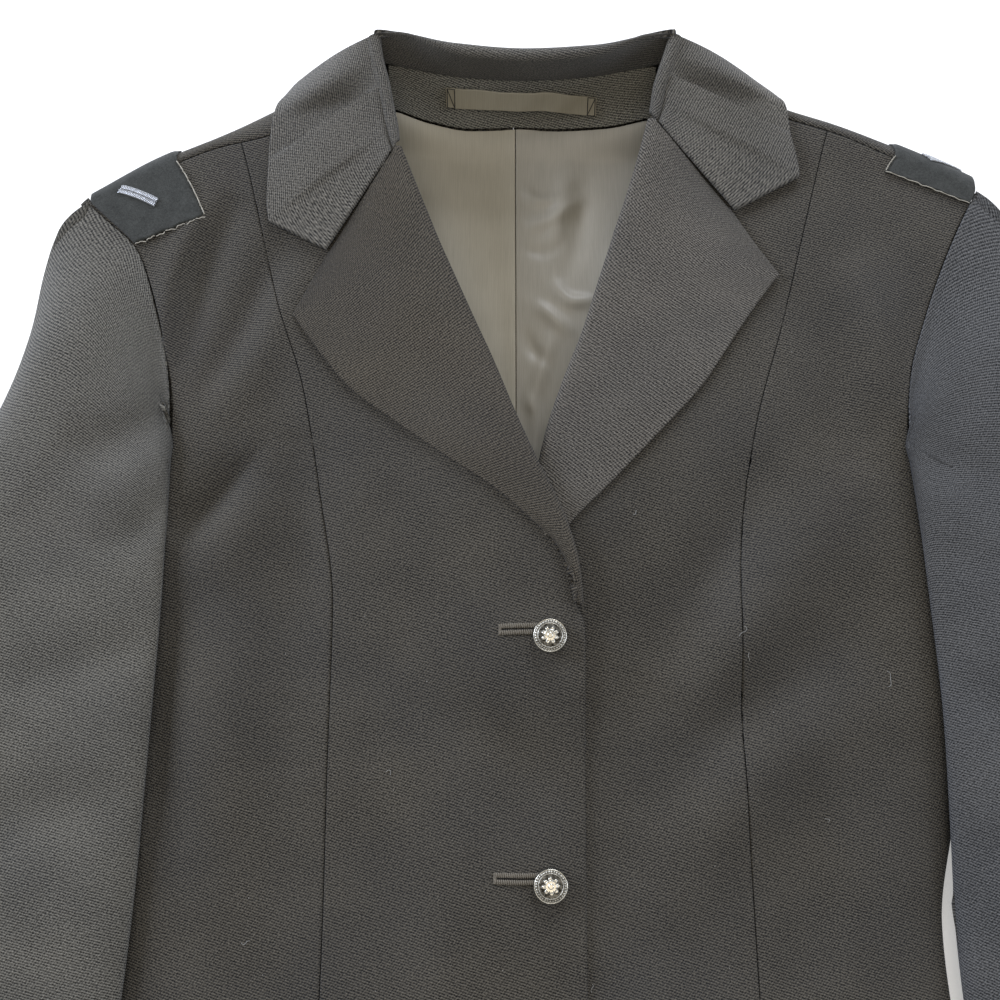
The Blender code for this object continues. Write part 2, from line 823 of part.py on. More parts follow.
def sleeve_surface(side, ring, turn):
    """A sleeve's outer surface: a flattened tube on the body's side.

    turn goes once round from the outer edge (0) over the top to the inner
    crease (1) and back beneath (2). Each section is a squared-off oval between
    a top and a bottom height; the first rings pass from the armhole to it.
    """
    rows = {"ring": np.arange(len(SLEEVE[side]["inner"])), **SLEEVE[side]}
    inner, inner_down = curve(rows, "inner", ring), curve(rows, "inner_down", ring)
    outer, outer_down = curve(rows, "outer", ring), curve(rows, "outer_down", ring)
    join = curve(rows, "join", ring)
    share = (1 - np.cos(np.pi * turn)) / 2
    turn = np.mod(turn, 2)
    loop = ARMHOLE_LOOP[side]
    across, along = blend(outer, inner, share), blend(outer_down, inner_down, share)
    start = blend(rows["outer"][0], rows["inner"][0], share)
    start_down = blend(rows["outer_down"][0], rows["inner_down"][0], share)
    out = blend(curve(loop, "out", turn) + across - start, across, join)
    down = blend(curve(loop, "down", turn) + along - start_down, along, join)
    under = support(side, out, down)
    oval = np.sqrt(np.clip(1 - (1 - 2 * share) ** 4, 0, 1))
    crease = support(side, inner, inner_down) + 4.0
    level = blend(curve(rows, "edge", ring), crease, share)
    top = level + np.maximum(curve(rows, "crown", ring) - level, 3.0) * oval
    bottom = blend(level, 0.0, oval)
    section = np.where(turn <= 1, top, bottom)
    over = 1.8 * smooth((turn - 0.75) / 0.25) + 2.8 * smooth((turn - 1.0) / 0.2)
    on_front = side_height(side * out, down, side) + LAY_GAP + over
    armhole = blend(0.0, on_front, curve(loop, "rise", turn))
    height = blend(armhole, section, smooth(ring / 3))
    on_body = smooth(under / 4.0)
    bed = higher(height, under + (LAY_GAP + 1.0) * on_body, 1.5) - 0.75 * (1 - on_body)
    height = np.where(turn > 1, bed, height)
    return points(side * out, -down, np.maximum(height, 0.0))


def add_sleeve(side):
    """Top and under sleeve: one tube, parted along two lengthwise seams."""
    count = len(SLEEVE[side]["inner"])
    ring = np.linspace(0, count - 1, 17)[:, None]
    first, front_seam, back_seam = SLEEVE_SEAMS
    for piece, start, stop, columns in (
        ("top", first, front_seam, 14),
        ("under", front_seam, back_seam, 11),
    ):
        even = np.linspace(0, 1, columns)[None, :]
        turn = blend(start + SLEEVE_PART, stop - SLEEVE_PART, even if piece == "top" else even**1.3)
        grid = sleeve_surface(side, ring, turn)
        grid = grid if side == RIGHT else grid[:, ::-1]
        add_wall(f"{piece}_sleeve_{SIDE_NAME[side]}", grid, CLOTH, "wool")


def add_lapel(side):
    """A lapel: flat on its front, rolled round the front's edge, with a tail.

    Across, it runs from its edge to the fold, round half a circle whose middle
    is inside the front's edge, and a little way back beneath the front.
    """
    rows = {"step": np.arange(len(LAPEL[side]["roll_x"])), **LAPEL[side]}
    step = np.linspace(0, len(rows["roll_x"]) - 1, LAPEL_ROWS)[:, None]
    roll = np.stack([curve(rows, "roll_x", step), -curve(rows, "roll_down", step)], -1)
    edge = np.stack([curve(rows, "edge_x", step), -curve(rows, "edge_down", step)], -1)
    along = np.gradient(roll[:, 0, :], axis=0)
    along = along / np.linalg.norm(along, axis=-1, keepdims=True)
    out = np.stack([along[:, 1], -along[:, 0]], -1) * (1 if side == RIGHT else -1)
    out = out[:, None, :]
    radius = CLOTH / 2 + LAY_GAP + FACING
    axis = roll - out * radius

    share = np.linspace(0, 1, 6)[None, :, None]
    flat = blend(edge, axis, share)
    flat_height = side_height(flat[..., 0], -flat[..., 1], side) + LAY_GAP + FACING
    middle = side_height(axis[..., 0], -axis[..., 1], side) - CLOTH / 2
    angle = np.radians([55, 15, -25, -65])[None, :, None]
    arc = axis + out * radius * np.cos(angle)
    arc_height = middle + radius * np.sin(angle[..., 0])
    tail = axis - out * np.array([0.5, 8.0])[None, :, None]
    tail_height = side_height(tail[..., 0], -tail[..., 1], side) - CLOTH - LAY_GAP
    tail_height = tail_height - FACING

    places = np.concatenate([flat, arc, tail], axis=1)
    heights = np.concatenate([flat_height, arc_height, tail_height], axis=1)
    grid = points(places[..., 0], places[..., 1], heights)
    add_wall(f"lapel_{SIDE_NAME[side]}", facing_up(grid, side), FACING, "wool")


def garment_top(x, down):
    """Top of the front, or of the back where it comes over the shoulder.

    Read a little towards the front, so that what lies here clears the turn.
    """
    down = down + 3.0
    total = np.zeros(np.broadcast(x, down).shape)
    for side in (RIGHT, LEFT):
        rows, out = BACK_TOP[side], np.abs(x)
        outline, seam = curve(rows, "outline", out), curve(rows, "seam", out)
        middle = curve(rows, "turn_height", out)
        cosine = np.clip(1 - (down - outline) / (seam - outline), 0, 1)
        over = middle + (seam_height(side, out) - middle) * np.sqrt(1 - cosine**2)
        over = over * smooth((down - outline + 8) / 8)
        height = np.where(down > seam, front_height(x, down), over)
        total = np.where(np.sign(x) == side, height, total)
    return total


def add_collar():
    """Stand and fall in one wall, folded over along the crest."""
    count = len(COLLAR_SECTIONS["seam_x"])
    rows = {"step": np.arange(count), **COLLAR_SECTIONS}
    step = np.linspace(0, count - 1, 2 * count - 1)[:, None]

    def spot(name):
        x, down = curve(rows, f"{name}_x", step), curve(rows, f"{name}_down", step)
        return points(x, -down, curve(rows, f"{name}_height", step))

    seam, fold, edge = spot("seam"), spot("fold"), spot("edge")
    on_front = garment_top(edge[..., 0], -edge[..., 1]) + LAY_GAP + COLLAR
    edge[..., 2] = np.where(edge[..., 2] > 0, edge[..., 2], on_front)
    radius = COLLAR + 0.8
    out = edge[..., :2] - fold[..., :2]
    out = out / np.linalg.norm(out, axis=-1, keepdims=True)
    out = np.concatenate([out, np.zeros_like(out[..., :1])], axis=-1)
    rise = np.array([0, 0, 1.0])
    inner_foot = fold - rise * radius
    stand = blend(seam, inner_foot, np.array([0, 0.86])[None, :, None])
    angle = np.radians([180, 140, 95, 55, 25])[None, :, None]
    crest = inner_foot + out * radius * (1 + np.cos(angle)) + rise * radius * np.sin(angle)
    share = np.linspace(0, 1, 7)[None, 1:, None]
    fall = blend(crest[:, -1:], edge, share)
    to_end = np.minimum(step, count - 1 - step)[..., None]
    bow = COLLAR_BOW * (COLLAR_END_BOW + (1 - COLLAR_END_BOW) * smooth(to_end / 3))
    fall = fall + rise * bow * np.sin(np.pi * share)
    floor = garment_top(fall[..., 0], -fall[..., 1]) + LAY_GAP + COLLAR
    fall[..., 2] = higher(fall[..., 2], floor, 1.0)
    grid = np.concatenate([stand, crest, fall], axis=1)
    add_wall("collar", grid, COLLAR, "wool")


def facing_place(x, share):
    """A place on the neck facing, from its top edge (0) to its foot (1)."""
    down = blend(curve(NECK_FACING, "top_down", x), curve(NECK_FACING, "foot_down", x), share)
    high = curve(NECK_FACING, "top_height", x)
    low = curve(NECK_FACING, "foot_height", x)
    sag = 1.5 * np.sin(np.pi * np.clip(share, 0, 1))
    return points(x, -down, blend(high, low, share) - sag)


def add_neck_facing():
    x = np.linspace(NECK_FACING["x"][0], NECK_FACING["x"][-1], 19)[None, :]
    share = np.linspace(0, 1, 5)[:, None]
    add_wall("neck_facing", facing_place(x, share), FACING_THIN, "wool")


def add_hanger_loop():
    """A flat tape on the facing, sewn at its ends and bowed between them."""
    x = np.linspace(LOOP_LINE["x"][0], LOOP_LINE["x"][-1], 17)[None, :]
    across = np.array([-1, 0, 1])[:, None]
    share = curve(LOOP_LINE, "share", x) + across * LOOP_HALF_SHARE
    grid = facing_place(x, share)
    ease = (x - LOOP_LINE["x"][0]) / (LOOP_LINE["x"][-1] - LOOP_LINE["x"][0])
    off = LAY_GAP + LOOP_THICK + LOOP_BOW * np.sin(np.pi * ease) ** 1.5
    grid = grid + normals(grid) * off[..., None]
    add_wall("hanger_loop", grid, LOOP_THICK, "tape")


def back_inside(x, down):
    """Height of the back's underside at a place inside the neck."""
    side = np.where(x < 0, RIGHT, LEFT)
    height = np.zeros(np.broadcast(x, down).shape)
    for each in (RIGHT, LEFT):
        rows = BACK_TOP[each]
        outline = curve(rows, "outline", np.abs(x))
        turn = curve(rows, "turn", np.abs(x))
        sine = np.clip(1 - (down - outline) / turn, 0, 1)
        level = curve(rows, "turn_height", np.abs(x)) * (1 - np.sqrt(1 - sine**2))
        height = np.where(side == each, level, height)
    return height


def add_lining(side):
    """Half of the back lining, from the neck facing down, on the back."""
    middle = CENTRE_BACK + side * SEAM_GAP / 2
    share = np.linspace(0, 1, 8)[None, :]
    fall = np.linspace(0, 1, 12)[:, None] ** 1.4
    x = blend(middle, side * LINING_OUT, share)
    down = blend(curve(LINING_TOP, "down", np.abs(x)), LINING_DOWN, fall)
    height = back_inside(x, down) + CLOTH * 1.3 + SEAM_GAP + LINING
    grid = points(x, -down, height)
    add_wall(f"lining_{SIDE_NAME[side]}", facing_up(grid, side), LINING, "satin")


def patch_place(side, along, across):
    """A place on the shoulder under a patch, on the front and over the back."""
    rows = {"along": np.array([0.0, 1.0]), **PATCH[side]}
    front_out, seam_out = curve(rows, "front_out", along), curve(rows, "seam_out", along)
    before_seam = np.clip(across, 0, 1)
    out = blend(front_out, seam_out, before_seam)
    seam = curve(BACK_TOP[side], "seam", out)
    down = blend(curve(rows, "front_down", along), seam, before_seam)
    front = points(side * out, -down, front_height(side * out, down))
    back_down, back_height = back_rise(side, out, 2 - PATCH_DROP * np.clip(across - 1, 0, None))
    back = points(side * out, -back_down, back_height)
    return np.where((across <= 1)[..., None], front, back)


def add_patch(side):
    along = np.linspace(0, 1, 7)[None, :]
    across = np.linspace(0, PATCH_FAR_SIDE, 12)[:, None]
    grid = patch_place(side, along, across + 0 * along)
    grid = grid[:, ::-1] if side == RIGHT else grid
    grid = grid + normals(grid) * (LAY_GAP + FELT)
    add_wall(f"shoulder_patch_{SIDE_NAME[side]}", grid, FELT, "felt")


def add_rank_bar(side):
    ends = {"step": np.array([0.0, 1.0]), **RANK_BAR[side]}
    step = np.linspace(0, 1, 7)[None, :]
    wide = np.linspace(-1, 1, 3)[:, None]
    along = curve(ends, "along", step) + wide * curve(ends, "half_along", step)
    across = curve(ends, "across", step) + wide * curve(ends, "half_across", step)
    grid = patch_place(side, along, across)
    grid = grid[:, ::-1] if side == RIGHT else grid
    grid = grid + normals(grid) * (LAY_GAP + FELT + LAY_GAP + SEAM_GAP + BAR_THICK)
    add_wall(f"rank_bar_{SIDE_NAME[side]}", grid, BAR_THICK, "silver_braid")


def add_button(number, down):
    """A domed metal button with its shank, turned about a vertical axis."""
    angle = np.linspace(0, 2 * np.pi, BUTTON_SIDES, endpoint=False)[None, :]
    radius = (BUTTON_PROFILE["radius"] * BUTTON_RADIUS)[:, None]
    foot = side_height(BUTTON_LINE, down, RIGHT) + BUTTON_STANDOFF
    height = foot + BUTTON_PROFILE["height"][:, None] + 0 * angle
    ring = points(BUTTON_LINE + radius * np.cos(angle), -down + radius * np.sin(angle), height)
    count = len(ring)
    ends = np.array([[BUTTON_LINE, -down, height[0, 0]], [BUTTON_LINE, -down, height[-1, 0] + 0.2]])
    places = np.concatenate([ring.reshape(-1, 3), ends])
    index = np.arange(count * BUTTON_SIDES).reshape(count, BUTTON_SIDES)
    after = np.roll(index, -1, axis=1)
    sides = np.stack([index[:-1], after[:-1], after[1:], index[1:]], -1).reshape(-1, 4)
    bottom, top = count * BUTTON_SIDES, count * BUTTON_SIDES + 1
    caps = [(bottom, b, a) for a, b in zip(index[0], after[0])]
    caps += [(top, a, b) for a, b in zip(index[-1], after[-1])]
    faces = [tuple(face) for face in sides] + caps
    add_object(f"button_{number}", places, faces, "button_metal")


def stand_on_origin():
    """Moves every mesh so that the middle of the garment's foot is the origin."""
    meshes = [obj.data for obj in bpy.context.scene.collection.objects]
    everything = []
    for mesh in meshes:
        places = np.empty(len(mesh.vertices) * 3)
        mesh.vertices.foreach_get("co", places)
        everything.append(places.reshape(-1, 3))
    low = np.min([places.min(axis=0) for places in everything], axis=0)
    high = np.max([places.max(axis=0) for places in everything], axis=0)
    shift = np.array([(low[0] + high[0]) / 2, (low[1] + high[1]) / 2, low[2]])
    for mesh, places in zip(meshes, everything):
        mesh.vertices.foreach_set("co", (places - shift).ravel())
        mesh.update()


def main():
    for obj in list(bpy.data.objects):
        bpy.data.objects.remove(obj, do_unlink=True)
    for side in (RIGHT, LEFT):
        add_fronts(side)
        add_back(side)
        add_sleeve(side)
        add_lapel(side)
        add_lining(side)
        add_patch(side)
        add_rank_bar(side)
    add_collar()
    add_neck_facing()
    add_hanger_loop()
    for number, down in enumerate(BUTTON_DOWNS, start=1):
        add_button(number, down)
    stand_on_origin()


main()
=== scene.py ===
"""Looks of a ladies' fire brigade dress jacket, buttoned and laid flat on its back.

Shapes are worked out in millimetres from the nape: x towards the wearer's
left, down towards the hem, and height from the surface that the jacket lies
on. A mesh is moved to the frame's metres when it is made.
"""

import logging
import math
from dataclasses import dataclass
from enum import Enum, IntEnum
from typing import Callable

import bpy
import numpy as np
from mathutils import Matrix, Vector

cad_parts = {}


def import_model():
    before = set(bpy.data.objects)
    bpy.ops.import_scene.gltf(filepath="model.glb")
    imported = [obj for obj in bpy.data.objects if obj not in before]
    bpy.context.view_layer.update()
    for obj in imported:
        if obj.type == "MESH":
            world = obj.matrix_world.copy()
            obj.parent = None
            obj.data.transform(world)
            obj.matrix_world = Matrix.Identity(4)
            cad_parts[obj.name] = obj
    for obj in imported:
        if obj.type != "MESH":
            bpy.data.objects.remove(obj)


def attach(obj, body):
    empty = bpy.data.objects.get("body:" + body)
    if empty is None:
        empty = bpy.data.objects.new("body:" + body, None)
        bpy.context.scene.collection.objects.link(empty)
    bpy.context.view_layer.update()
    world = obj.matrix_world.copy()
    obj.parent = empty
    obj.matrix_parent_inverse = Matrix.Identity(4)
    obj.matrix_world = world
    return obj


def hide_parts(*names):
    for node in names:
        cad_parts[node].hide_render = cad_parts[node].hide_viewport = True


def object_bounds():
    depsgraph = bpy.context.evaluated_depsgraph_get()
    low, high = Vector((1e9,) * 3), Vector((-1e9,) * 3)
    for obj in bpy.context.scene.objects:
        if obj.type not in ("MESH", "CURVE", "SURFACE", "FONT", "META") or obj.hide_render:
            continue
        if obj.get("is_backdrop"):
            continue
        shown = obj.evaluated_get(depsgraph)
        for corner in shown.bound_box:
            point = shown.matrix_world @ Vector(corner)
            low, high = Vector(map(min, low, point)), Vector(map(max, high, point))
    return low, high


Array = np.ndarray
Rows = dict[str, Array]
Finish = bpy.types.Material
Piece = bpy.types.Object
Tree = bpy.types.NodeTree

MM = 0.001
# Millimetres in one unit of the cloth's UV map: UV_UNIT / size is the scale of a
# pattern whose features are of that size
UV_UNIT = 100.0
# The nape's place in the frame, in millimetres
NAPE_X, NAPE_Y = -7.5107, 300.6372
ROOT = "root"
# Thicknesses, gaps between layers and lengthwise lines, in millimetres
CLOTH = 1.6
FACING = 1.8
COLLAR = 2.4
LINING = 1.0
FELT = 1.5
SEAM_GAP = 0.3
SHOULDER_GAP = 0.6
NECK_CLEAR = 3.2
LAY_GAP = 0.5
LAPELS_BETWEEN = 2 * (FACING + LAY_GAP) + 0.6
BODY_CENTRE = 5.0
CENTRE_BACK = -3.0
BUTTON_LINE = 12.3
SLEEVE_CLEAR = 6.5
# Distances in millimetres of the added lines beside a cut edge
CLOSE_LINES = (0.25, 0.6, 1.1, 1.8)
# How many times deeper than in its table a crease is pressed into each cloth
CREASE_GAIN, SLEEVE_GAIN, SATIN_GAIN = 2.6, 2.0, 1.4


class Side(IntEnum):
    """The wearer's side, which is also the sign of x."""

    RIGHT = -1
    LEFT = 1

    @property
    def word(self) -> str:
        """The side's name as the frame's nodes have it."""
        return "right" if self is Side.RIGHT else "left"


RIGHT, LEFT = Side.RIGHT, Side.LEFT


def table(columns: str, *rows: tuple[float, ...]) -> Rows:
    """A table of numbers, as one array for each named column."""
    return dict(zip(columns.split(), np.array(rows, float).T))


# Height of the front's crown above the floor, and of the side seam
CROWN = table(
    "down crown side",
    (-20, 33, 14), (30, 34, 13), (80, 36, 12), (140, 37, 11), (200, 35, 10.5), (257, 31, 10), (320, 27, 9.5),
    (400, 22, 8.5), (500, 18, 7.5), (640, 14, 7),
)

# The side seam below the armhole, and above it the line that the roll follows
SIDE_SEAM = {
    RIGHT: table(
        "down out",
        (-20, 330), (60, 290), (120, 245), (181, 224), (216, 213), (300, 196), (400, 178), (480, 188), (640, 212),
    ),
    LEFT: table(
        "down out",
        (-20, 345), (60, 305), (120, 260), (181, 237), (216, 225), (300, 205), (354, 193), (396, 186), (480, 195),
        (640, 220),
    ),
}

PRINCESS = {
    RIGHT: table(
        "down out",
        (10, 142), (35, 133), (74, 123), (109, 115), (157, 100), (204, 92), (257, 85), (322, 86), (398, 87),
        (520, 92), (640, 98),
    ),
    LEFT: table(
        "down out",
        (5, 155), (28, 147), (72, 135), (123, 122), (176, 107), (223, 100), (257, 98), (311, 98), (387, 101),
        (520, 106), (640, 112),
    ),
}

# The front armhole, from the shoulder tip to the foot of the side-front's edge
ARMHOLE_FRONT = {
    RIGHT: table(
        "down out",
        (40, 226), (66, 205), (88, 181), (115, 170), (139, 164), (167, 160), (181, 160), (187, 168), (194, 180),
        (202, 194), (210, 206), (216, 213),
    ),
    LEFT: table(
        "down out",
        (40, 232), (60, 216), (78, 206), (98, 197), (125, 187), (153, 179), (181, 177), (187, 184), (194, 195),
        (202, 208), (210, 219), (216, 225),
    ),
}

ARMHOLE_BACK = {
    RIGHT: table(
        "down out",
        (30, 215), (66, 204), (95, 195), (120, 190), (150, 190), (180, 196), (205, 206), (216, 213),
    ),
    LEFT: table(
        "down out",
        (30, 224), (60, 215), (95, 206), (120, 202), (150, 202), (180, 208), (205, 218), (216, 225),
    ),
}

# The back's top edge: it turns up from the floor, over the outline of the
# shoulder, and forward to the shoulder seam
BACK_TOP = {
    RIGHT: table(
        "out outline seam seam_height turn turn_height",
        (0, -3.6, -2.6, 25, 46, 21), (32, -6.5, -4.5, 26.5, 42, 20), (64, -15, -10, 29.2, 32, 18),
        (90, -3, 12, 31, 24, 17), (117, 11, 30, 31.5, 19, 16), (146, 27, 38, 32, 17, 15), (173, 39, 50, 31, 16, 15),
        (204, 58, 66, 28, 14, 14), (240, 78, 84, 24, 14, 14),
    ),
    LEFT: table(
        "out outline seam seam_height turn turn_height",
        (0, -3.6, -2.6, 25, 46, 21), (35, -6.5, -4.5, 26.5, 42, 20), (67, -15, -10, 29.2, 32, 18),
        (96, -2, 9, 31, 24, 17), (127, 12, 22, 31.5, 19, 16), (151, 20, 30, 32, 17, 15), (179, 31, 43, 31, 16, 15),
        (216, 48, 60, 28, 14, 14), (250, 66, 78, 24, 14, 14),
    ),
}

# Where each lapel folds and where its edge lies, from the break to the gorge
LAPEL = {
    RIGHT: table(
        "roll_x roll_down edge_x edge_down",
        (27.5, 257, 24, 250), (26, 241, 15, 231), (21, 222, 3, 219), (14, 206, -12, 206), (6, 190, -32, 192),
        (-3, 170, -54, 176), (-13, 145, -79, 157), (-23, 122, -93, 140), (-34.5, 95.5, -103.9, 124.8),
        (-36, 92, -105.6, 122.6), (-37.3, 89, -104.5, 120.5), (-46, 67, -98, 108), (-56, 41, -90, 93),
    ),
    LEFT: table(
        "roll_x roll_down edge_x edge_down",
        (-3.5, 257, 1, 249), (-1, 240, 13, 233), (2, 220, 24, 218), (6, 200, 38, 204), (11, 178, 62, 179),
        (18, 157, 83, 156), (28, 131, 101, 129), (36, 106, 113, 112), (42, 87.5, 118.2, 105.1),
        (43, 84, 120, 102.9), (44.2, 80.5, 118.7, 100.9), (53, 53, 109, 87), (60, 27, 100, 73),
    ),
}

# The lower end of the left lapel's fold, which the right front rises over
LAP_LINE = table("x down", (8, 192), (6, 212), (4, 232), (2, 256))

# How far each fold line stands above the front around it
ROLL_LIFT = table("down lift", (0, 10), (40, 9), (100, 6), (170, 3), (235, 1), (257, 0))

# Collar sections from the right gorge round the nape to the left gorge. The
# fold is the crest; the neck seam is inside it and the outer edge below it
COLLAR_SECTIONS = table(
    "seam_x seam_down seam_height fold_x fold_down fold_height edge_x edge_down edge_height",
    (-63.4, 41.8, 39, -56.7, 38.4, 46, -90.7, 91.1, 0), (-63.8, 38.5, 38.6, -57.2, 33, 46.8, -115.2, 78.4, 0),
    (-64, 37.4, 38.5, -57.4, 31.6, 47, -117.9, 76.6, 0), (-64.3, 35.6, 38.3, -57.8, 29.4, 47.3, -118.6, 73.4, 0),
    (-65, 30, 37.5, -59, 24, 48, -119.4, 66, 0), (-67, 15, 36, -62, 9, 50, -119.4, 46, 0),
    (-68, 2, 34, -65, -3, 51, -118, 22, 33), (-67, -7, 32, -66, -12, 52, -112, -2, 18),
    (-50, -4, 30, -54, -10, 53, -78, -24, 8), (-28, -1, 28, -29, -1, 54, -34, -18, 5),
    (2, 0.5, 27.5, 2, 2, 54, 2, -12, 5), (32, -1, 28, 33, 0, 54, 38, -18, 5), (54, -4, 30, 58, -9, 53, 84, -24, 8),
    (71, -7, 32, 70, -12, 52, 118, -4, 18), (72, 0, 34, 68, -5, 51, 127, 16, 32),
    (71, 10, 36, 65, 4, 50, 128.6, 32, 0), (68.6, 19, 37.3, 62.4, 12.5, 48.2, 130.8, 44, 0),
    (68.1, 22.6, 38, 61.8, 16.5, 47.4, 131.6, 51.2, 0), (68, 24, 38.3, 61.6, 18, 47.1, 131.2, 54, 0),
    (67.9, 25, 38.5, 61.4, 19.2, 46.9, 129, 55.5, 0), (67.5, 29.2, 39, 60.5, 24.5, 46, 100.7, 71.4, 0),
)

# The sleeve's inner crease and outer edge, from the armhole to the cuff
SLEEVE = {
    RIGHT: table(
        "inner inner_down outer outer_down crown edge join",
        (160.5, 181, 206, 65, 36, 24, 0), (161, 184, 219, 77, 37, 18, 0.06), (161.5, 188, 228, 96, 38, 14, 0.14),
        (162, 194, 235, 125, 39, 11, 0.26), (162.5, 204, 246, 158, 39, 9, 0.42),
        (163.5, 223, 266, 196, 38.5, 8, 0.64), (165, 256, 285, 240, 37, 8, 0.86), (168, 305, 297, 292, 34.5, 7, 1),
        (171.5, 360, 303, 350, 31.5, 7, 1), (175.5, 420, 303, 412, 28, 7, 1), (180, 480, 301, 474, 24.5, 6, 1),
        (188, 545, 297, 540, 21, 6, 1), (190, 612, 292, 606, 18, 6, 1),
    ),
    LEFT: table(
        "inner inner_down outer outer_down crown edge join",
        (177.5, 181, 217, 59, 36, 24, 0), (178, 184, 230, 71, 37, 18, 0.06), (179, 188, 239, 90, 38, 14, 0.14),
        (180, 194, 246, 118, 39, 11, 0.26), (181.5, 205, 257, 150, 39, 9, 0.42), (184, 225, 278, 190, 38, 8, 0.64),
        (187.5, 260, 298, 234, 36.5, 8, 0.86), (191.5, 308, 311, 288, 34, 7, 1), (193, 362, 317, 348, 31, 7, 1),
        (194.5, 422, 318, 411, 28, 7, 1), (201, 482, 316, 474, 24.5, 6, 1), (207, 546, 313, 540, 21, 6, 1),
        (212, 613, 310, 606, 18, 6, 1),
    ),
}

# The armhole once round as turns of half a circle: 0 at the shoulder tip, 1 at
# the crease in front, then under the arm and up the back to 2
ARMHOLE_LOOP = {
    RIGHT: table(
        "turn out down rise",
        (0.0, 206.5, 65, 1), (0.2, 194.5, 76, 1), (0.4, 182, 88, 1), (0.6, 171.8, 115, 1), (0.75, 165.7, 139, 1),
        (0.9, 161.7, 167, 1), (1.0, 161.5, 182, 1), (1.1, 171, 188.5, 1), (1.2, 183.5, 195.5, 1),
        (1.32, 199.5, 205, 1), (1.42, 215.5, 217.5, 1), (1.5, 209.2, 203, 0.35), (1.62, 199.2, 178, 0),
        (1.75, 193.2, 148, 0), (1.88, 194.2, 112, 0.12), (1.95, 200.2, 86, 0.5), (2.0, 207, 65, 1),
    ),
    LEFT: table(
        "turn out down rise",
        (0.0, 217.5, 59, 1), (0.2, 208.5, 76, 1), (0.4, 198.5, 98, 1), (0.6, 188.3, 125, 1), (0.75, 181.5, 147, 1),
        (0.9, 178.2, 168, 1), (1.0, 178, 182, 1), (1.1, 187, 188.5, 1), (1.2, 198.5, 195.5, 1),
        (1.32, 213.5, 205, 1), (1.42, 227.5, 217.5, 1), (1.5, 221.2, 203, 0.35), (1.62, 211.2, 178, 0),
        (1.75, 205.2, 148, 0), (1.88, 206.2, 112, 0.12), (1.95, 212.2, 84, 0.5), (2.0, 217.5, 59, 1),
    ),
}

# Soft folds pressed into the fronts, as lines with a depth and a half width
FOLDS = table(
    "start_x start_down end_x end_down depth half_width",
    (-132, 62, -160, 150, 3.0, 11), (-112, 84, -154, 158, 2.4, 10), (-128, 190, -158, 228, 2.2, 10),
    (-62, 200, 8, 266, 1.6, 18), (120, 236, 152, 330, 1.8, 24),
)

# Shoulder patches: the outer and the neck-side edge, each from the patch's
# front corner to where it meets the shoulder seam
PATCH = {
    RIGHT: table("front_out front_down seam_out", (181, 86.5, 201.5), (148.5, 72.5, 163)),
    LEFT: table("front_out front_down seam_out", (212, 66, 214.5), (173, 50, 178)),
}

# By how much the patches' outer edges bow out to the armhole, and reach its tip
PATCH_BULGE = {RIGHT: 2.2, LEFT: 0.4}
PATCH_TIP = {RIGHT: 1.4, LEFT: 0.6}

# Rank bars on the patches: along is 0 at the outer edge and 1 at the neck side,
# across is 0 at the front edge, 1 at the shoulder seam and more behind it. The
# half columns are half the bar's width on those same measures
RANK_BAR = {
    RIGHT: table("along across half_along half_across", (0.33, 0.94, 0.05, 0.05), (0.55, 0.41, 0.05, 0.05)),
    LEFT: table("along across half_along half_across", (0.16, 2.10, 0.06, 0.13), (0.60, 1.55, 0.06, 0.13)),
}

# The neck facing's top edge, under the collar's stand, and its foot
NECK_FACING = table(
    "x top_down top_height foot_down foot_height",
    (-60, -5, 29, 10, 17.5), (-44, -2.5, 28, 13.5, 12), (-25, -0.3, 27, 16, 9.2), (0, 1.2, 26.3, 15, 8.3),
    (20, 0.6, 26.5, 16, 8.8), (42, -1, 27.5, 16, 11.5), (62, -4, 29, 14.5, 17.5),
)

# Where the satin lining starts below the neck facing, and where it ends
LINING_TOP = table("out down", (0, 15.8), (22, 17), (44, 17), (60, 20), (80, 27), (98, 36))
LINING_OUT = 98.0
LINING_DOWN = 330.0

# The hanger loop on the neck facing: its place down the facing's slope
LOOP_LINE = table("x share", (-36, 0.36), (-12, 0.30), (10, 0.30), (26, 0.42), (37.5, 0.52))

# The edge of each centre front: the neck, the fold of the lapel, and the edge
# below the break
CENTRE_EDGE = {
    RIGHT: table(
        "down x",
        (-15, -78), (0, -76), (20, -72), (41, -66), (67, -51.5), (92, -40.8), (122, -27.8), (145, -17.8),
        (170, -7.8), (190, 1.2), (206, 9.2), (222, 16.2), (241, 21.8), (257, 24.5), (268, 28), (640, 28),
    ),
    LEFT: table(
        "down x",
        (-15, 80), (0, 78.5), (14, 75), (27, 70), (53, 58.6), (84, 47.8), (106, 40.8), (131, 32.8), (157, 22.8),
        (178, 15.8), (200, 10.4), (220, 6.2), (240, 3), (257, 0.4), (268, -4), (640, -4),
    ),
}

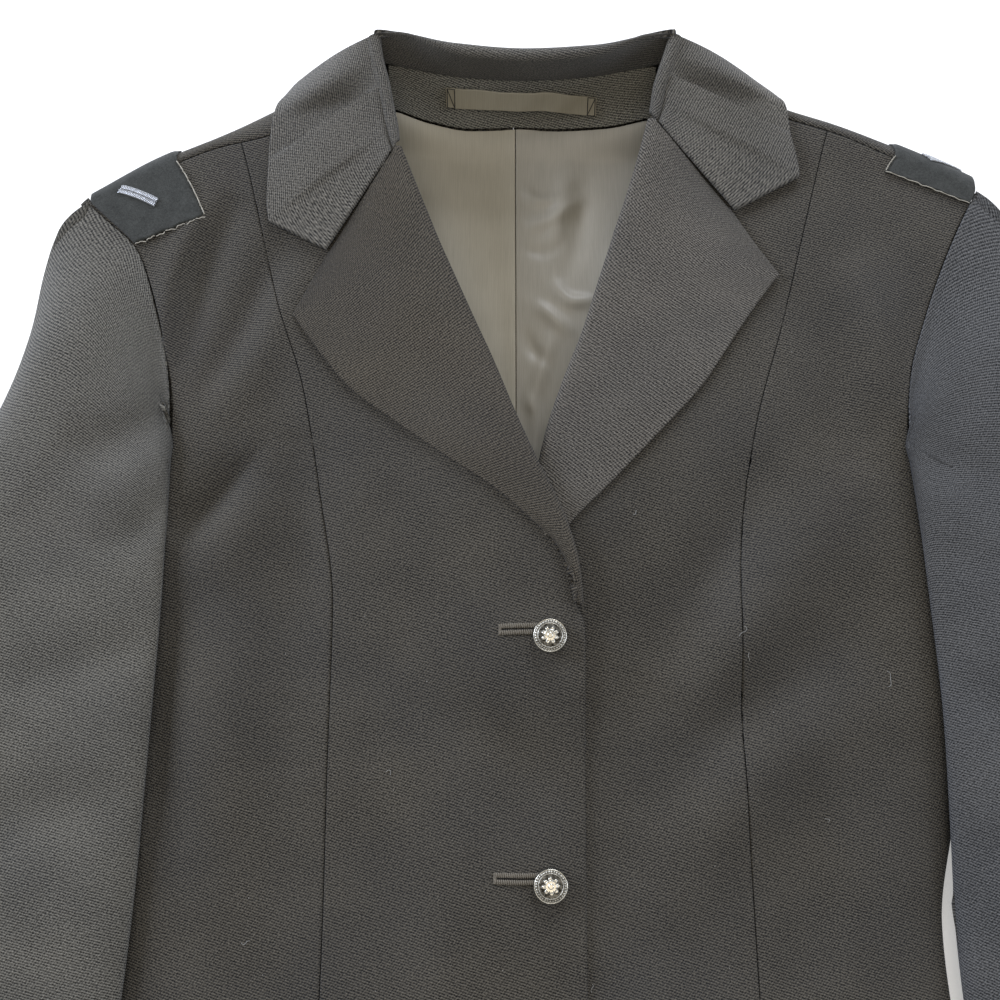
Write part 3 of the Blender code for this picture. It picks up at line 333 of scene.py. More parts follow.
# Wrinkles of the satin, as lines with a height (above 0) or a depth (below 0)
WRINKLES = {
    RIGHT: table(
        "start_x start_down mid_x mid_down end_x end_down depth half_width",
        (-46, 40, -34, 90, -20, 140, 0.9, 9), (-12, 60, -10, 110, -8, 170, -0.7, 5),
        (-60, 60, -52, 120, -40, 190, 0.8, 10), (-30, 200, -24, 250, -28, 310, 0.8, 9),
    ),
    LEFT: table(
        "start_x start_down mid_x mid_down end_x end_down depth half_width",
        (0, 44, 10, 52, 24, 50, 1.5, 3.2), (2, 66, 14, 62, 34, 48, 1.8, 3.6), (2, 76, 12, 78, 22, 72, -1.2, 3.4),
        (24, 34, 20, 58, 14, 84, 1.5, 4.5), (34, 36, 30, 66, 22, 96, -1.3, 4.8),
        (14, 92, 26, 104, 38, 104, 1.9, 3.6), (6, 104, 16, 112, 26, 122, 1.7, 3.4),
        (0, 116, 6, 128, 16, 138, -1.2, 3.2), (16, 118, 10, 140, 4, 162, 1.8, 3.8),
        (2, 150, 8, 164, 6, 184, 1.4, 3.4), (46, 60, 44, 110, 36, 160, 1.2, 7), (60, 180, 40, 220, 30, 290, 1.0, 9),
    ),
}

# Stray fibres: where each starts, its length, its direction and its curl
LINT = (
    (98.5, 266.5, 7.0, 1.9, 1.6), (163.0, 286.0, 9.0, 1.2, 3.4), (100.5, 278.0, 4.0, 1.4, 0.8),
    (-2.5, 183.0, 6.0, 1.1, 1.2), (-60.0, 330.0, 4.5, 0.4, 2.0), (52.0, 214.0, 3.4, 2.2, 1.4),
    (-118.0, 402.0, 5.0, 2.8, 1.0), (134.0, 350.0, 3.8, 0.8, 2.2), (30.0, 420.0, 4.2, 1.6, 1.1),
    (-34.0, 460.0, 3.6, 2.4, 1.8),
)

# Soft troughs (depth above 0) and ridges (below 0) that the cloth has beyond
# the form of its solid, as lines with a depth and a half width in millimetres
CREASES = table(
    "start_x start_down mid_x mid_down end_x end_down depth half_width",
    (-133, 59, -150, 98, -161, 160, 1.8, 7.5), (-143, 60, -163, 108, -168, 166, -1.5, 8),
    (-111, 80, -128, 128, -153, 168, 1.9, 9), (-104, 92, -120, 140, -140, 176, -1.4, 11),
    (-122, 186, -140, 208, -160, 226, 1.6, 9), (-116, 181, -137, 206, -159, 229, 0.7, 3.8),
    (-112, 200, -130, 226, -150, 250, -1.2, 12), (-98, 170, -103, 240, -104, 340, 2.6, 17),
    (-126, 250, -134, 320, -130, 400, -1.7, 18), (-154, 238, -164, 300, -154, 372, 1.6, 13),
    (-90, 430, -102, 500, -106, 590, 1.8, 18), (-60, 310, -26, 400, -40, 520, -1.9, 30),
    (-40, 300, 4, 330, 16, 356, 1.0, 12), (74, 310, 104, 262, 140, 202, -2.6, 19),
    (58, 290, 88, 240, 118, 186, 2.3, 16), (50, 402, 96, 336, 170, 292, -2.4, 21),
    (56, 360, 100, 304, 156, 258, 2.1, 16), (112, 300, 128, 352, 132, 430, 2.2, 18),
    (120, 100, 146, 150, 150, 206, 1.8, 16), (150, 90, 164, 132, 166, 176, -1.4, 11),
    (28, 292, 46, 350, 40, 440, 1.8, 22), (60, 430, 88, 480, 84, 580, -1.5, 24),
    (150, 400, 160, 470, 150, 560, 1.4, 18),
)

# Creases of the sleeves on the sleeve's own measures: turn as in the method
# Sleeves.surface, and how far down from the crown, in millimetres
SLEEVE_CREASES = {
    RIGHT: table(
        "start_turn start_down end_turn end_down depth half_width",
        (0.95, 158, 0.52, 192, 1.9, 9), (0.98, 182, 0.62, 214, -1.4, 10), (0.93, 214, 0.66, 236, 1.3, 8),
        (0.40, 100, 0.36, 262, -1.6, 13), (0.62, 118, 0.60, 262, 1.3, 14), (0.16, 190, 0.30, 330, 1.4, 15),
        (0.90, 268, 0.46, 300, 1.2, 10), (0.86, 330, 0.30, 372, 1.6, 13), (0.30, 430, 0.80, 470, 1.2, 14),
        (0.84, 505, 0.36, 540, 1.1, 14), (1.30, 300, 1.62, 350, 1.0, 14),
    ),
    LEFT: table(
        "start_turn start_down end_turn end_down depth half_width",
        (0.95, 172, 0.56, 206, 0.8, 9), (0.98, 198, 0.60, 236, -1.3, 11), (0.34, 112, 0.42, 268, -1.5, 14),
        (0.62, 120, 0.66, 250, 1.2, 13), (0.14, 206, 0.34, 340, 1.3, 15), (0.90, 286, 0.42, 322, 1.4, 11),
        (0.84, 352, 0.34, 392, 1.4, 13), (0.32, 440, 0.78, 486, 1.2, 14), (0.82, 522, 0.40, 556, 1.1, 14),
        (1.34, 310, 1.60, 360, 1.0, 14),
    ),
}


def curve(rows: Rows, column: str, at: Array | float) -> Array:
    """A smooth curve through one column of a table, with no overshoot.

    Cubic pieces whose slope at a row is the harmonic mean of the two spans
    beside it, or nothing where the column turns.

    Args:
        rows: the table; its first column holds the knots, in rising order.
        column: the column that is read.
        at: places along the first column, clipped to its ends.
    Returns:
        The column's value at each place.
    """
    knots = next(iter(rows.values()))
    values = rows[column]
    widths = np.diff(knots)
    spans = np.diff(values) / widths
    before, after = spans[:-1], spans[1:]
    turning = before * after <= 0
    mean = 2 * before * after / np.where(turning, 1, before + after)
    slopes = np.concatenate([spans[:1], np.where(turning, 0, mean), spans[-1:]])
    at = np.clip(np.asarray(at, float), knots[0], knots[-1])
    row = np.clip(np.searchsorted(knots, at) - 1, 0, len(widths) - 1)
    width = widths[row]
    q = (at - knots[row]) / width
    return (
        values[row] * (1 + 2 * q) * (1 - q) ** 2
        + slopes[row] * width * q * (1 - q) ** 2
        + values[row + 1] * q * q * (3 - 2 * q)
        + slopes[row + 1] * width * q * q * (q - 1)
    )


def curves(rows: Rows, columns: str, at: Array | float) -> list[Array]:
    """Smooth curves through several columns of a table, at the same places."""
    return [curve(rows, column, at) for column in columns.split()]


def smooth(q: Array | float) -> Array:
    """0 below 0, 1 above 1, and the even S curve 3qq - 2qqq between them."""
    q = np.clip(q, 0, 1)
    return q * q * (3 - 2 * q)


def blend(a: Array | float, b: Array | float, share: Array | float) -> Array:
    """The value that lies the given share of the way from a to b."""
    return a + (b - a) * share


def higher(a: Array, b: Array | float, softness: float = 1.0) -> Array:
    """The higher of two heights: their mean plus half of a rounded difference."""
    return (a + b + np.sqrt((a - b) ** 2 + softness**2)) / 2


def points(x: Array, y: Array, height: Array) -> Array:
    """Three coordinates broadcast together, as one array of places."""
    return np.stack(np.broadcast_arrays(x, y, height), axis=-1).astype(float)


def unit(vectors: Array) -> Array:
    """The vectors at length 1."""
    return vectors / np.maximum(np.linalg.norm(vectors, axis=-1, keepdims=True), 1e-9)


def normals(grid: Array) -> Array:
    """Unit normals of a grid: the cross product of its two differences."""
    rows = np.gradient(grid, axis=0, edge_order=2)
    return unit(np.cross(rows, np.gradient(grid, axis=1, edge_order=2)))


def lengths(grid: Array, axis: int) -> Array:
    """Length run along one axis of a grid, from 0 at its first row or column.

    Args:
        grid: the places.
        axis: 0 down the grid's columns, 1 along its rows.
    Returns:
        The length at each place.
    """
    step = np.linalg.norm(np.diff(grid, axis=axis), axis=-1)
    start = np.zeros_like(np.take(step, [0], axis=axis))
    return np.concatenate([start, np.cumsum(step, axis=axis)], axis=axis)


def bell(away: Array, along: Array, half_width: float, end: float = 0.02, power: float = 0.8) -> Array:
    """A crease's share of its depth: exp(-(away / half width)^2), faded at its ends.

    Args:
        away: distance from the crease's line.
        along: the share of the line, whose sine fades it.
        half_width: the crease's half width.
        end: how near its ends, as a share, it fades no more.
        power: what the sine is raised to.
    Returns:
        The share at each place.
    """
    return np.sin(np.pi * np.clip(along, end, 1 - end)) ** power * np.exp(-((away / half_width) ** 2))


def line_distance(x: Array, down: Array, line_x: Array, line_down: Array,
                  count: int = 60) -> tuple[Array, Array]:
    """Distance from each place to a smooth line.

    Args:
        x, down: the places.
        line_x, line_down: the points that the line passes through.
        count: how many points along the line are compared.
    Returns:
        The distance, and the share of the line at its nearest point.
    """
    rows = {"step": np.linspace(0, 1, len(line_x)), "x": np.array(line_x), "down": np.array(line_down)}
    along = np.linspace(0, 1, count)
    line = np.stack([curve(rows, "x", along), curve(rows, "down", along)], -1)
    best = np.full(np.broadcast(x, down).shape, np.inf)
    where = np.zeros_like(best)
    for share, (at_x, at_down) in zip(along, line):
        away = np.hypot(x - at_x, down - at_down)
        where = np.where(away < best, share, where)
        best = np.minimum(best, away)
    return best, where


class JacketForm:
    """The heights and edges that all the panels share, as the solids have them."""

    def half_width(self, x: Array, down: Array) -> Array:
        """Distance from the body's middle to the line that its sides roll to.

        Args:
            x, down: the places.
        Returns:
            The distance at each place.
        """
        right = BODY_CENTRE + curve(SIDE_SEAM[RIGHT], "out", down)
        left = curve(SIDE_SEAM[LEFT], "out", down) - BODY_CENTRE
        return np.where(x < BODY_CENTRE, right, left)

    def lifted_by_rolls(self, x: Array, down: Array) -> Array:
        """Rise of a front to its lapel's fold: a bell 30 mm wide across the line.

        Args:
            x, down: the places.
        Returns:
            The rise at each place.
        """
        total = np.zeros(np.broadcast(x, down).shape)
        for rows in LAPEL.values():
            away, along = line_distance(x, down, rows["roll_x"], rows["roll_down"])
            steps = {"step": np.linspace(0, 1, len(rows["roll_x"])), "down": rows["roll_down"]}
            lift = curve(ROLL_LIFT, "lift", curve(steps, "down", along))
            total = np.maximum(total, lift * np.exp(-((away / 30.0) ** 2)))
        return total

    def pressed_by_folds(self, x: Array, down: Array) -> Array:
        """Depth of the soft folds: a bell across each line, strongest half way.

        Args:
            x, down: the places.
        Returns:
            The depth at each place.
        """
        total = np.zeros(np.broadcast(x, down).shape)
        for i, depth in enumerate(FOLDS["depth"]):
            ends_x = blend(FOLDS["start_x"][i], FOLDS["end_x"][i], np.linspace(0, 1, 3))
            ends_down = blend(FOLDS["start_down"][i], FOLDS["end_down"][i], np.linspace(0, 1, 3))
            away, along = line_distance(x, down, ends_x, ends_down, 30)
            total = total + depth * bell(away, along, FOLDS["half_width"][i], 0.0, 0.7)
        return total

    def creased(self, x: Array, down: Array) -> Array:
        """Depth of the finer creases: a bell across each line, faded at its ends.

        Args:
            x, down: the places.
        Returns:
            The depth at each place.
        """
        total = np.zeros(np.broadcast(x, down).shape)
        for i, depth in enumerate(CREASES["depth"]):
            line_x = [CREASES[f"{end}_x"][i] for end in ("start", "mid", "end")]
            line_down = [CREASES[f"{end}_down"][i] for end in ("start", "mid", "end")]
            away, along = line_distance(x, down, line_x, line_down, 30)
            total = total + CREASE_GAIN * depth * bell(away, along, CREASES["half_width"][i])
        return total

    def lapped(self, x: Array, down: Array) -> Array:
        """Rise of the right front over the left front and, higher up, its lapel.

        Args:
            x, down: the places.
        Returns:
            The rise at each place.
        """
        over_front = (CLOTH + LAY_GAP) * smooth((x + 56) / 46)
        away, _ = line_distance(x, down, LAP_LINE["x"], LAP_LINE["down"], 30)
        return over_front + LAPELS_BETWEEN * (1 - smooth((away - 16) / 62))

    def front_height(self, x: Array, down: Array) -> Array:
        """Top of the left front's layer, and of both side fronts.

        A squared-off arch across the body: the side seam's height plus the
        crown's rise times (1 - u^4)^(1/2.2), where u is the distance from the
        middle as a share of the half width; the rolls lift it and folds press it.

        Args:
            x, down: the places.
        Returns:
            The height at each place.
        """
        u = np.clip(np.abs(x - BODY_CENTRE) / self.half_width(x, down), 0, 1)
        side = curve(CROWN, "side", down)
        arch = (1 - u**4) ** (1 / 2.2)
        height = side + (curve(CROWN, "crown", down) - side) * arch
        return height + (self.lifted_by_rolls(x, down) - self.pressed_by_folds(x, down)) * arch

    def side_height(self, x: Array, down: Array, side: Side) -> Array:
        """Top of one front: the shared height, and the lap on the right one."""
        lap = self.lapped(x, down) if side is RIGHT else 0.0
        return self.front_height(x, down) + lap

    def seam_height(self, side: Side, out: Array) -> Array:
        """Height of the shoulder seam, or of the back neck seam near the middle.

        Args:
            side: the wearer's side.
            out: distance from the nape towards the sleeve.
        Returns:
            The height at each distance.
        """
        rows = BACK_TOP[side]
        front = self.front_height(side * out, curve(rows, "seam", out))
        return blend(curve(rows, "seam_height", out), front, smooth((out - 64) / 16))

    def back_rise(self, side: Side, out: Array, rise: Array) -> tuple[Array, Array]:
        """A place on the turned-up top of the back.

        Two quarters of an ellipse: from the floor (0) to the outline (1), and
        on over it to the seam (2).

        Args:
            side: the wearer's side.
            out: distance from the nape towards the sleeve.
            rise: how far up the turn, 0 to 2.
        Returns:
            The place's distance down, and its height.
        """
        rows = BACK_TOP[side]
        outline, turn, middle, seam = curves(rows, "outline turn turn_height seam", out)
        lower, upper = np.clip(rise, 0, 1) * np.pi / 2, np.clip(rise - 1, 0, 1) * np.pi / 2
        down = outline + turn * (1 - np.sin(lower)) + (seam - outline) * (1 - np.cos(upper))
        over = (self.seam_height(side, out) - middle) * np.sin(upper)
        return down, middle * (1 - np.cos(lower)) + over

    def garment_top(self, x: Array, down: Array) -> Array:
        """Top of the front, or of the back where it comes over the shoulder.

        Args:
            x, down: the places.
        Returns:
            The height at each place.
        """
        down = down + 3.0
        total = np.zeros(np.broadcast(x, down).shape)
        for side in Side:
            rows, out = BACK_TOP[side], np.abs(x)
            outline, seam, middle = curves(rows, "outline seam turn_height", out)
            cosine = np.clip(1 - (down - outline) / (seam - outline), 0, 1)
            over = middle + (self.seam_height(side, out) - middle) * np.sqrt(1 - cosine**2)
            over = over * smooth((down - outline + 8) / 8)
            height = np.where(down > seam, self.front_height(x, down), over)
            total = np.where(np.sign(x) == side, height, total)
        return total

    def back_inside(self, x: Array, down: Array) -> Array:
        """Height of the back's underside at a place inside the neck.

        Args:
            x, down: the places.
        Returns:
            The height at each place.
        """
        height = np.zeros(np.broadcast(x, down).shape)
        for side in Side:
            rows, out = BACK_TOP[side], np.abs(x)
            turn = curve(rows, "turn", out)
            sine = np.clip(1 - (down - curve(rows, "outline", out)) / turn, 0, 1)
            level = curve(rows, "turn_height", out) * (1 - np.sqrt(1 - sine**2))
            height = np.where(np.where(x < 0, RIGHT, LEFT) == side, level, height)
        return height

    def row_downs(self, side: Side, levels: Array, out: Array) -> Array:
        """How far down each row of a panel lies: level, and bent to the shoulder.

        Args:
            side: the wearer's side.
            levels: how far down each row is where it's level.
            out: distance from the nape towards the sleeve.
        Returns:
            How far down each place is.
        """
        top = curve(BACK_TOP[side], "seam", out) + SHOULDER_GAP / 2
        top = top + NECK_CLEAR * (1 - smooth((out - 78) / 16))
        return levels + top * (1 - smooth(levels / 150))

    def armhole_foot(self, side: Side, out: Array) -> Array:
        """How far down the front armhole's seam lies at a distance out.

        Args:
            side: the wearer's side.
            out: distance from the nape towards the sleeve.
        Returns:
            How far down the seam is.
        """
        rows = ARMHOLE_FRONT[side]
        low = rows["down"] >= 181
        return curve({"out": rows["out"][low], "down": rows["down"][low]}, "down", out)

    def support(self, side: Side, out: Array, down: Array) -> Array:
        """Top of what lies under a sleeve: the body's side, the back or the floor.

        Args:
            side: the wearer's side.
            out, down: the places, towards the sleeve and down.
        Returns:
            The height at each place.
        """
        out = out - SLEEVE_CLEAR
        edge = curve(SIDE_SEAM[side], "out", down)
        inside = self.front_height(side * np.minimum(out, edge), down)
        beyond = curve(CROWN, "side", down) * (1 - smooth((out - edge) / 14))
        body = np.where(out < edge, inside, beyond)
        return blend(0.0, body, smooth(1 + (down - self.armhole_foot(side, out)) / 45))


FORM = JacketForm()


# Finishes


def linear(colour: str) -> tuple[float, float, float, float]:
    """An sRGB hex colour as linear red, green and blue, with an alpha of 1.

    Args:
        colour: the colour as # and six hex digits.
    Returns:
        Its four parts, from 0 to 1.
    """
    parts = np.array([int(colour[i : i + 2], 16) for i in (1, 3, 5)]) / 255
    low, high = parts / 12.92, ((parts + 0.055) / 1.055) ** 2.4
    return (*np.where(parts <= 0.04045, low, high).tolist(), 1.0)


# Settings of the Math and Mix nodes that the finishes use most
TIMES = {"operation": "MULTIPLY"}
MINUS = {"operation": "SUBTRACT"}
SCALED = {"operation": "MULTIPLY_ADD"}
SCALED_WITHIN = {"operation": "MULTIPLY_ADD", "use_clamp": True}
PLUS_WITHIN = {"operation": "ADD", "use_clamp": True}
COLOURS = {"data_type": "RGBA"}


def feed(tree: Tree, node: bpy.types.Node, *first: object, **inputs: object) -> None:
    """Links or sets a node's inputs.

    Args:
        tree: the material's node tree.
        node: the node.
        first: what goes to its first inputs, in their order.
        inputs: each further input by its place (i6, i7) or its name, with
            underscores for blanks. A socket or a node's first output is linked,
            and anything else is set.
    """
    for name, value in [*enumerate(first), *inputs.items()]:
        named = isinstance(name, str)
        place = int(name[1:]) if named and name[1:].isdigit() else name.replace("_", " ") if named else name
        if isinstance(value, bpy.types.Node):
            value = value.outputs[0]
        if isinstance(value, bpy.types.NodeSocket):
            tree.links.new(value, node.inputs[place])
        else:
            node.inputs[place].default_value = value


def add(tree: Tree, kind: str, fields: dict | None = None, *first: object, **inputs: object) -> bpy.types.Node:
    """Adds a node with its settings and links.

    Args:
        tree: the material's node tree.
        kind: the node's type name, without "ShaderNode".
        fields: the node's own settings by name.
        first, inputs: as in feed.
    Returns:
        The node.
    """
    node = tree.nodes.new(f"ShaderNode{kind}")
    for name, value in (fields or {}).items():
        setattr(node, name, value)
    feed(tree, node, *first, **inputs)
    return node


def new_material(name: str) -> tuple[Finish, Tree, bpy.types.Node]:
    """An empty node material with its Principled shader.

    Args:
        name: the finish's name.
    Returns:
        The material, its tree and its shader node.
    """
    made = bpy.data.materials.new(name)
    made.use_nodes = True
    return made, made.node_tree, made.node_tree.nodes["Principled BSDF"]


def cloth_uv(tree: Tree, turn: float = 0.0) -> bpy.types.NodeSocket:
    """The piece's own cloth measures, in units of 100 mm, turned by an angle.

    Args:
        tree: the material's node tree.
        turn: how far the weave is turned, in degrees.
    Returns:
        The vector socket.
    """
    place = add(tree, "UVMap", {"uv_map": "cloth"}).outputs[0]
    return add(tree, "Mapping", None, Vector=place, Rotation=(0, 0, math.radians(turn))).outputs[0]


def thread_lines(tree: Tree, place: bpy.types.NodeSocket, along: float, down: float,
                 wobble: bpy.types.Node, amount: float = 1.0) -> bpy.types.Node:
    """One family of diagonal threads: the sine of a phase that rises evenly.

    Args:
        tree: the material's node tree.
        place: the vector socket, in units of 100 mm.
        along, down: threads in a millimetre across and down the cloth.
        wobble: a noise that shifts the phase, about 0.5.
        amount: the shift, in radians for a change of 1.
    Returns:
        The node whose value runs from -1 to 1.
    """
    turns = 2 * math.pi * UV_UNIT
    parts = add(tree, "SeparateXYZ", None, Vector=place)
    phase = add(tree, "Math", TIMES, parts.outputs[0], along * turns)
    phase = add(tree, "Math", SCALED, parts.outputs[1], down * turns, phase)
    phase = add(tree, "Math", SCALED, wobble, amount * 2 * math.pi, phase)
    return add(tree, "Math", {"operation": "SINE"}, phase)


class Grain(Enum):
    """How far the wool's weave is turned on a panel, in degrees."""

    BODY = 0.0
    BIAS_RIGHT = 38.0
    BIAS_LEFT = -12.0
    ACROSS = 90.0
    FACING = 2.0
    SLEEVE_RIGHT = 6.0
    SLEEVE_LEFT = -8.0


@dataclass(frozen=True)
class WoolBarathea:
    """Worsted barathea: pebbly, matt, and a little paler where it grazes the light."""

    grain: Grain = Grain.BODY
    # main makes copies for the lapels, sleeves, collar and facing with paler dark and light colours than the body's:
    # painted light for how the light falls on each part.
    dark: str = "#151413"
    light: str = "#6E695E"
    cool: str = "#40454E"
    # The twill's two families of lines, in lines a millimetre across and down the
    # cloth: about 1.1 mm apart, matched, so that they show in the render
    first: tuple[float, float] = (0.27, -0.82)
    second: tuple[float, float] = (0.72, 0.52)

    def material(self) -> Finish:
        """The wool's material: two families of threads, yarn noise and lint.

        Returns:
            The material.
        """
        made, tree, shader = new_material(f"wool_barathea_{self.grain.name.lower()}")
        place = cloth_uv(tree, self.grain.value)
        wobble = add(tree, "TexNoise", None, Vector=place, Scale=UV_UNIT / 2.6, Detail=2.0, Roughness=0.5)
        one = thread_lines(tree, place, *self.first, wobble, 0.55)
        two = thread_lines(tree, place, *self.second, wobble, 0.45)
        both = add(tree, "Math", SCALED, two, 0.45, one)
        yarn = add(tree, "TexNoise", None, Vector=place, Scale=UV_UNIT / 0.9, Detail=3.0, Roughness=0.6)
        blotch = add(tree, "TexNoise", None, Vector=place, Scale=UV_UNIT / 34.0, Detail=2.0, Roughness=0.5)
        height = add(tree, "Math", SCALED, both, 0.28, 0.42)
        rough = add(tree, "Math", MINUS, yarn, 0.5)
        height = add(tree, "Math", SCALED, rough, 1.9, height)
        uneven = add(tree, "Math", MINUS, blotch, 0.5)
        shade = add(tree, "Math", SCALED_WITHIN, uneven, 0.28, height)
        cloth = add(tree, "Mix", COLOURS, Factor=shade, i6=linear(self.dark), i7=linear(self.light))
        hue = add(tree, "TexNoise", None, Vector=place, Scale=UV_UNIT / 75.0, Detail=1.0, Roughness=0.5)
        tint = add(tree, "Math", SCALED_WITHIN, hue, 1.6, -0.5)
        tint = add(tree, "Math", TIMES, tint, 0.22)
        cloth = add(tree, "Mix", COLOURS, Factor=tint, i6=cloth.outputs[2], i7=linear(self.cool))
        specks = add(tree, "TexVoronoi", None, Vector=place, Scale=UV_UNIT / 7.0)
        near = add(tree, "Math", {"operation": "LESS_THAN"}, specks.outputs["Distance"], 0.032)
        few = add(tree, "SeparateColor", None, Color=specks.outputs["Color"]).outputs[0]
        some = add(tree, "Math", {"operation": "GREATER_THAN"}, few, 0.72)
        lint = add(tree, "Math", TIMES, near, some)
        lint = add(tree, "Math", TIMES, lint, 0.55)
        cloth = add(tree, "Mix", COLOURS, Factor=lint, i6=cloth.outputs[2], i7=linear("#B9B7B0"))
        bump = add(tree, "Bump", None, Strength=0.9, Distance=0.00038, Height=height)
        feed(tree, shader, Base_Color=cloth.outputs[2], Normal=bump, Roughness=0.82, Specular_IOR_Level=0.20,
             Sheen_Weight=0.12, Sheen_Roughness=0.45, Sheen_Tint=linear("#AEB6C4"))
        return made


@dataclass(frozen=True)
class SatinLining:
    """Viscose satin: fine threads down the cloth and a broad, soft gloss."""

    name: str = "satin_lining"
    colour: str = "#C9C3B1"
    shade: str = "#9E9885"
    roughness: float = 0.50

    def material(self) -> Finish:
        """The satin's material: lengthwise threads, cloudy shade and a gloss.

        Returns:
            The material.
        """
        made, tree, shader = new_material(self.name)
        place = cloth_uv(tree)
        wobble = add(tree, "TexNoise", None, Vector=place, Scale=UV_UNIT / 5.0, Detail=1.0, Roughness=0.5)
        # The real threads are 0.1 mm apart: drawn at 1.1 mm so that they show
        threads = thread_lines(tree, place, 0.9, 0.02, wobble, 0.8)
        slub = add(tree, "Mapping", None, Vector=place, Scale=(14.0, 1.0, 1.0)).outputs[0]
        streak = add(tree, "TexNoise", None, Vector=slub, Scale=UV_UNIT / 14.0, Detail=3.0, Roughness=0.6)
        cloud = add(tree, "TexNoise", None, Vector=place, Scale=UV_UNIT / 26.0, Detail=2.0, Roughness=0.5)
        shade = add(tree, "Math", SCALED, threads, 0.05, 0.1)
        shade = add(tree, "Math", SCALED, streak, 0.5, shade)
        shade = add(tree, "Math", SCALED_WITHIN, cloud, 0.5, shade)
        colour = add(tree, "Mix", COLOURS, Factor=shade, i6=linear(self.shade), i7=linear(self.colour))
        bump = add(tree, "Bump", None, Strength=0.25, Distance=0.0001, Height=shade)
        feed(tree, shader, Base_Color=colour.outputs[2], Normal=bump, Roughness=self.roughness,
             Specular_IOR_Level=0.40, Sheen_Weight=0.08)
        return made


@dataclass(frozen=True)
class PressedFelt:
    """Dark pressed felt: short matted fibres, with no weave and no gloss."""

    dark: str = "#1B1C1B"
    light: str = "#5A5C59"

    def material(self) -> Finish:
        """The felt's material: two sizes of matted noise.

        Returns:
            The material.
        """
        made, tree, shader = new_material("pressed_felt")
        place = cloth_uv(tree)
        fibres = add(tree, "TexNoise", None, Vector=place, Scale=UV_UNIT / 0.9, Detail=4.0, Roughness=0.7,
                     Distortion=1.2)
        clumps = add(tree, "TexNoise", None, Vector=place, Scale=UV_UNIT / 6.0, Detail=2.0, Roughness=0.5)
        shade = add(tree, "Math", SCALED, fibres, 1.1, -0.3)
        shade = add(tree, "Math", SCALED_WITHIN, clumps, 0.4, shade)
        colour = add(tree, "Mix", COLOURS, Factor=shade, i6=linear(self.dark), i7=linear(self.light))
        bump = add(tree, "Bump", None, Strength=0.7, Distance=0.0003, Height=fibres)
        feed(tree, shader, Base_Color=colour.outputs[2], Normal=bump, Roughness=0.95, Specular_IOR_Level=0.15,
             Sheen_Weight=0.08)
        return made


@dataclass(frozen=True)
class SpunThread:
    """Sewing thread: a matt colour with a fine twist."""

    name: str
    colour: str
    roughness: float = 0.7
    metallic: float = 0.0
    # Twists in a millimetre: real thread has about 1.5, which just shows
    twist: float = 1.5

    def material(self) -> Finish:
        """The thread's material: its colour, and stripes that lean round it.

        Returns:
            The material.
        """
        made, tree, shader = new_material(self.name)
        place = add(tree, "TexCoord").outputs["Object"]
        grain = add(tree, "TexNoise", None, Vector=place, Scale=self.twist / MM, Detail=2.0)
        shade = add(tree, "Math", SCALED_WITHIN, grain.outputs[0], 1.2, -0.1)
        dark = tuple(0.45 * part for part in linear(self.colour)[:3]) + (1.0,)
        colour = add(tree, "Mix", COLOURS, Factor=shade, i6=dark, i7=linear(self.colour))
        bump = add(tree, "Bump", None, Strength=0.5, Distance=0.0001, Height=grain.outputs[0])
        feed(tree, shader, Base_Color=colour.outputs[2], Normal=bump, Roughness=self.roughness,
             Metallic=self.metallic)
        return made


@dataclass(frozen=True)
class PlatedBrass:
    """Silver-plated brass, die-struck: bright on what stands up, dull in the hollows."""

    bright: str = "#E2DFD2"
    dull: str = "#2B2923"

    def material(self) -> Finish:
        """The plating's material, dulled by the mesh's own relief attribute.

        Returns:
            The material.
        """
        made, tree, shader = new_material("plated_brass")
        relief = add(tree, "Attribute", {"attribute_name": "relief"}).outputs["Fac"]
        place = add(tree, "TexCoord").outputs["Object"]
        # Grime in specks of about a millimetre
        grime = add(tree, "TexNoise", None, Vector=place, Scale=0.9 / MM, Detail=3.0).outputs[0]
        shade = add(tree, "Math", SCALED, grime, 0.9, -0.40)
        shade = add(tree, "Math", PLUS_WITHIN, relief, shade)
        colour = add(tree, "Mix", COLOURS, Factor=shade, i6=linear(self.dull), i7=linear(self.bright))
        rough = add(tree, "Math", SCALED, shade, -0.24, 0.50)
        bump = add(tree, "Bump", None, Strength=0.15, Distance=0.0001, Height=grime)
        feed(tree, shader, Base_Color=colour.outputs[2], Roughness=rough, Normal=bump, Metallic=1.0)
        return made


# Making meshes


def new_piece(name: str, places: Array, faces: Array, finish: Finish, uv: Array | None = None,
              relief: Array | None = None, sharp: float = 60.0) -> Piece:
    """One object whose place is in its mesh.

    Args:
        name: the piece's name.
        places: its vertices in millimetres from the nape.
        faces: its quads, as four indices each.
        finish: its material.
        uv: cloth measures of each vertex, in millimetres.
        relief: a number for each vertex, which the finish reads.
        sharp: the angle in degrees past which an edge is drawn sharp.
    Returns:
        The object.
    """
    world = (places + np.array([NAPE_X, NAPE_Y, 0.0])) * MM
    mesh = bpy.data.meshes.new(name)
    mesh.vertices.add(len(world))
    mesh.vertices.foreach_set("co", world.astype(np.float32).ravel())
    mesh.loops.add(faces.size)
    mesh.loops.foreach_set("vertex_index", faces.astype(np.int32).ravel())
    mesh.polygons.add(len(faces))
    mesh.polygons.foreach_set("loop_start", np.arange(0, faces.size, 4, dtype=np.int32))
    if uv is not None:
        layer = mesh.uv_layers.new(name="cloth")
        layer.uv.foreach_set("vector", (uv[faces.ravel()] / UV_UNIT).astype(np.float32).ravel())
    if relief is not None:
        layer = mesh.attributes.new("relief", "FLOAT", "POINT")
        layer.data.foreach_set("value", relief.astype(np.float32).ravel())
    mesh.materials.append(finish)
    mesh.update(calc_edges=True)
    mesh.validate()
    mesh.shade_smooth()
    mesh.set_sharp_from_angle(angle=math.radians(sharp))
    made = bpy.data.objects.new(name, mesh)
    bpy.context.scene.collection.objects.link(made)
    return made


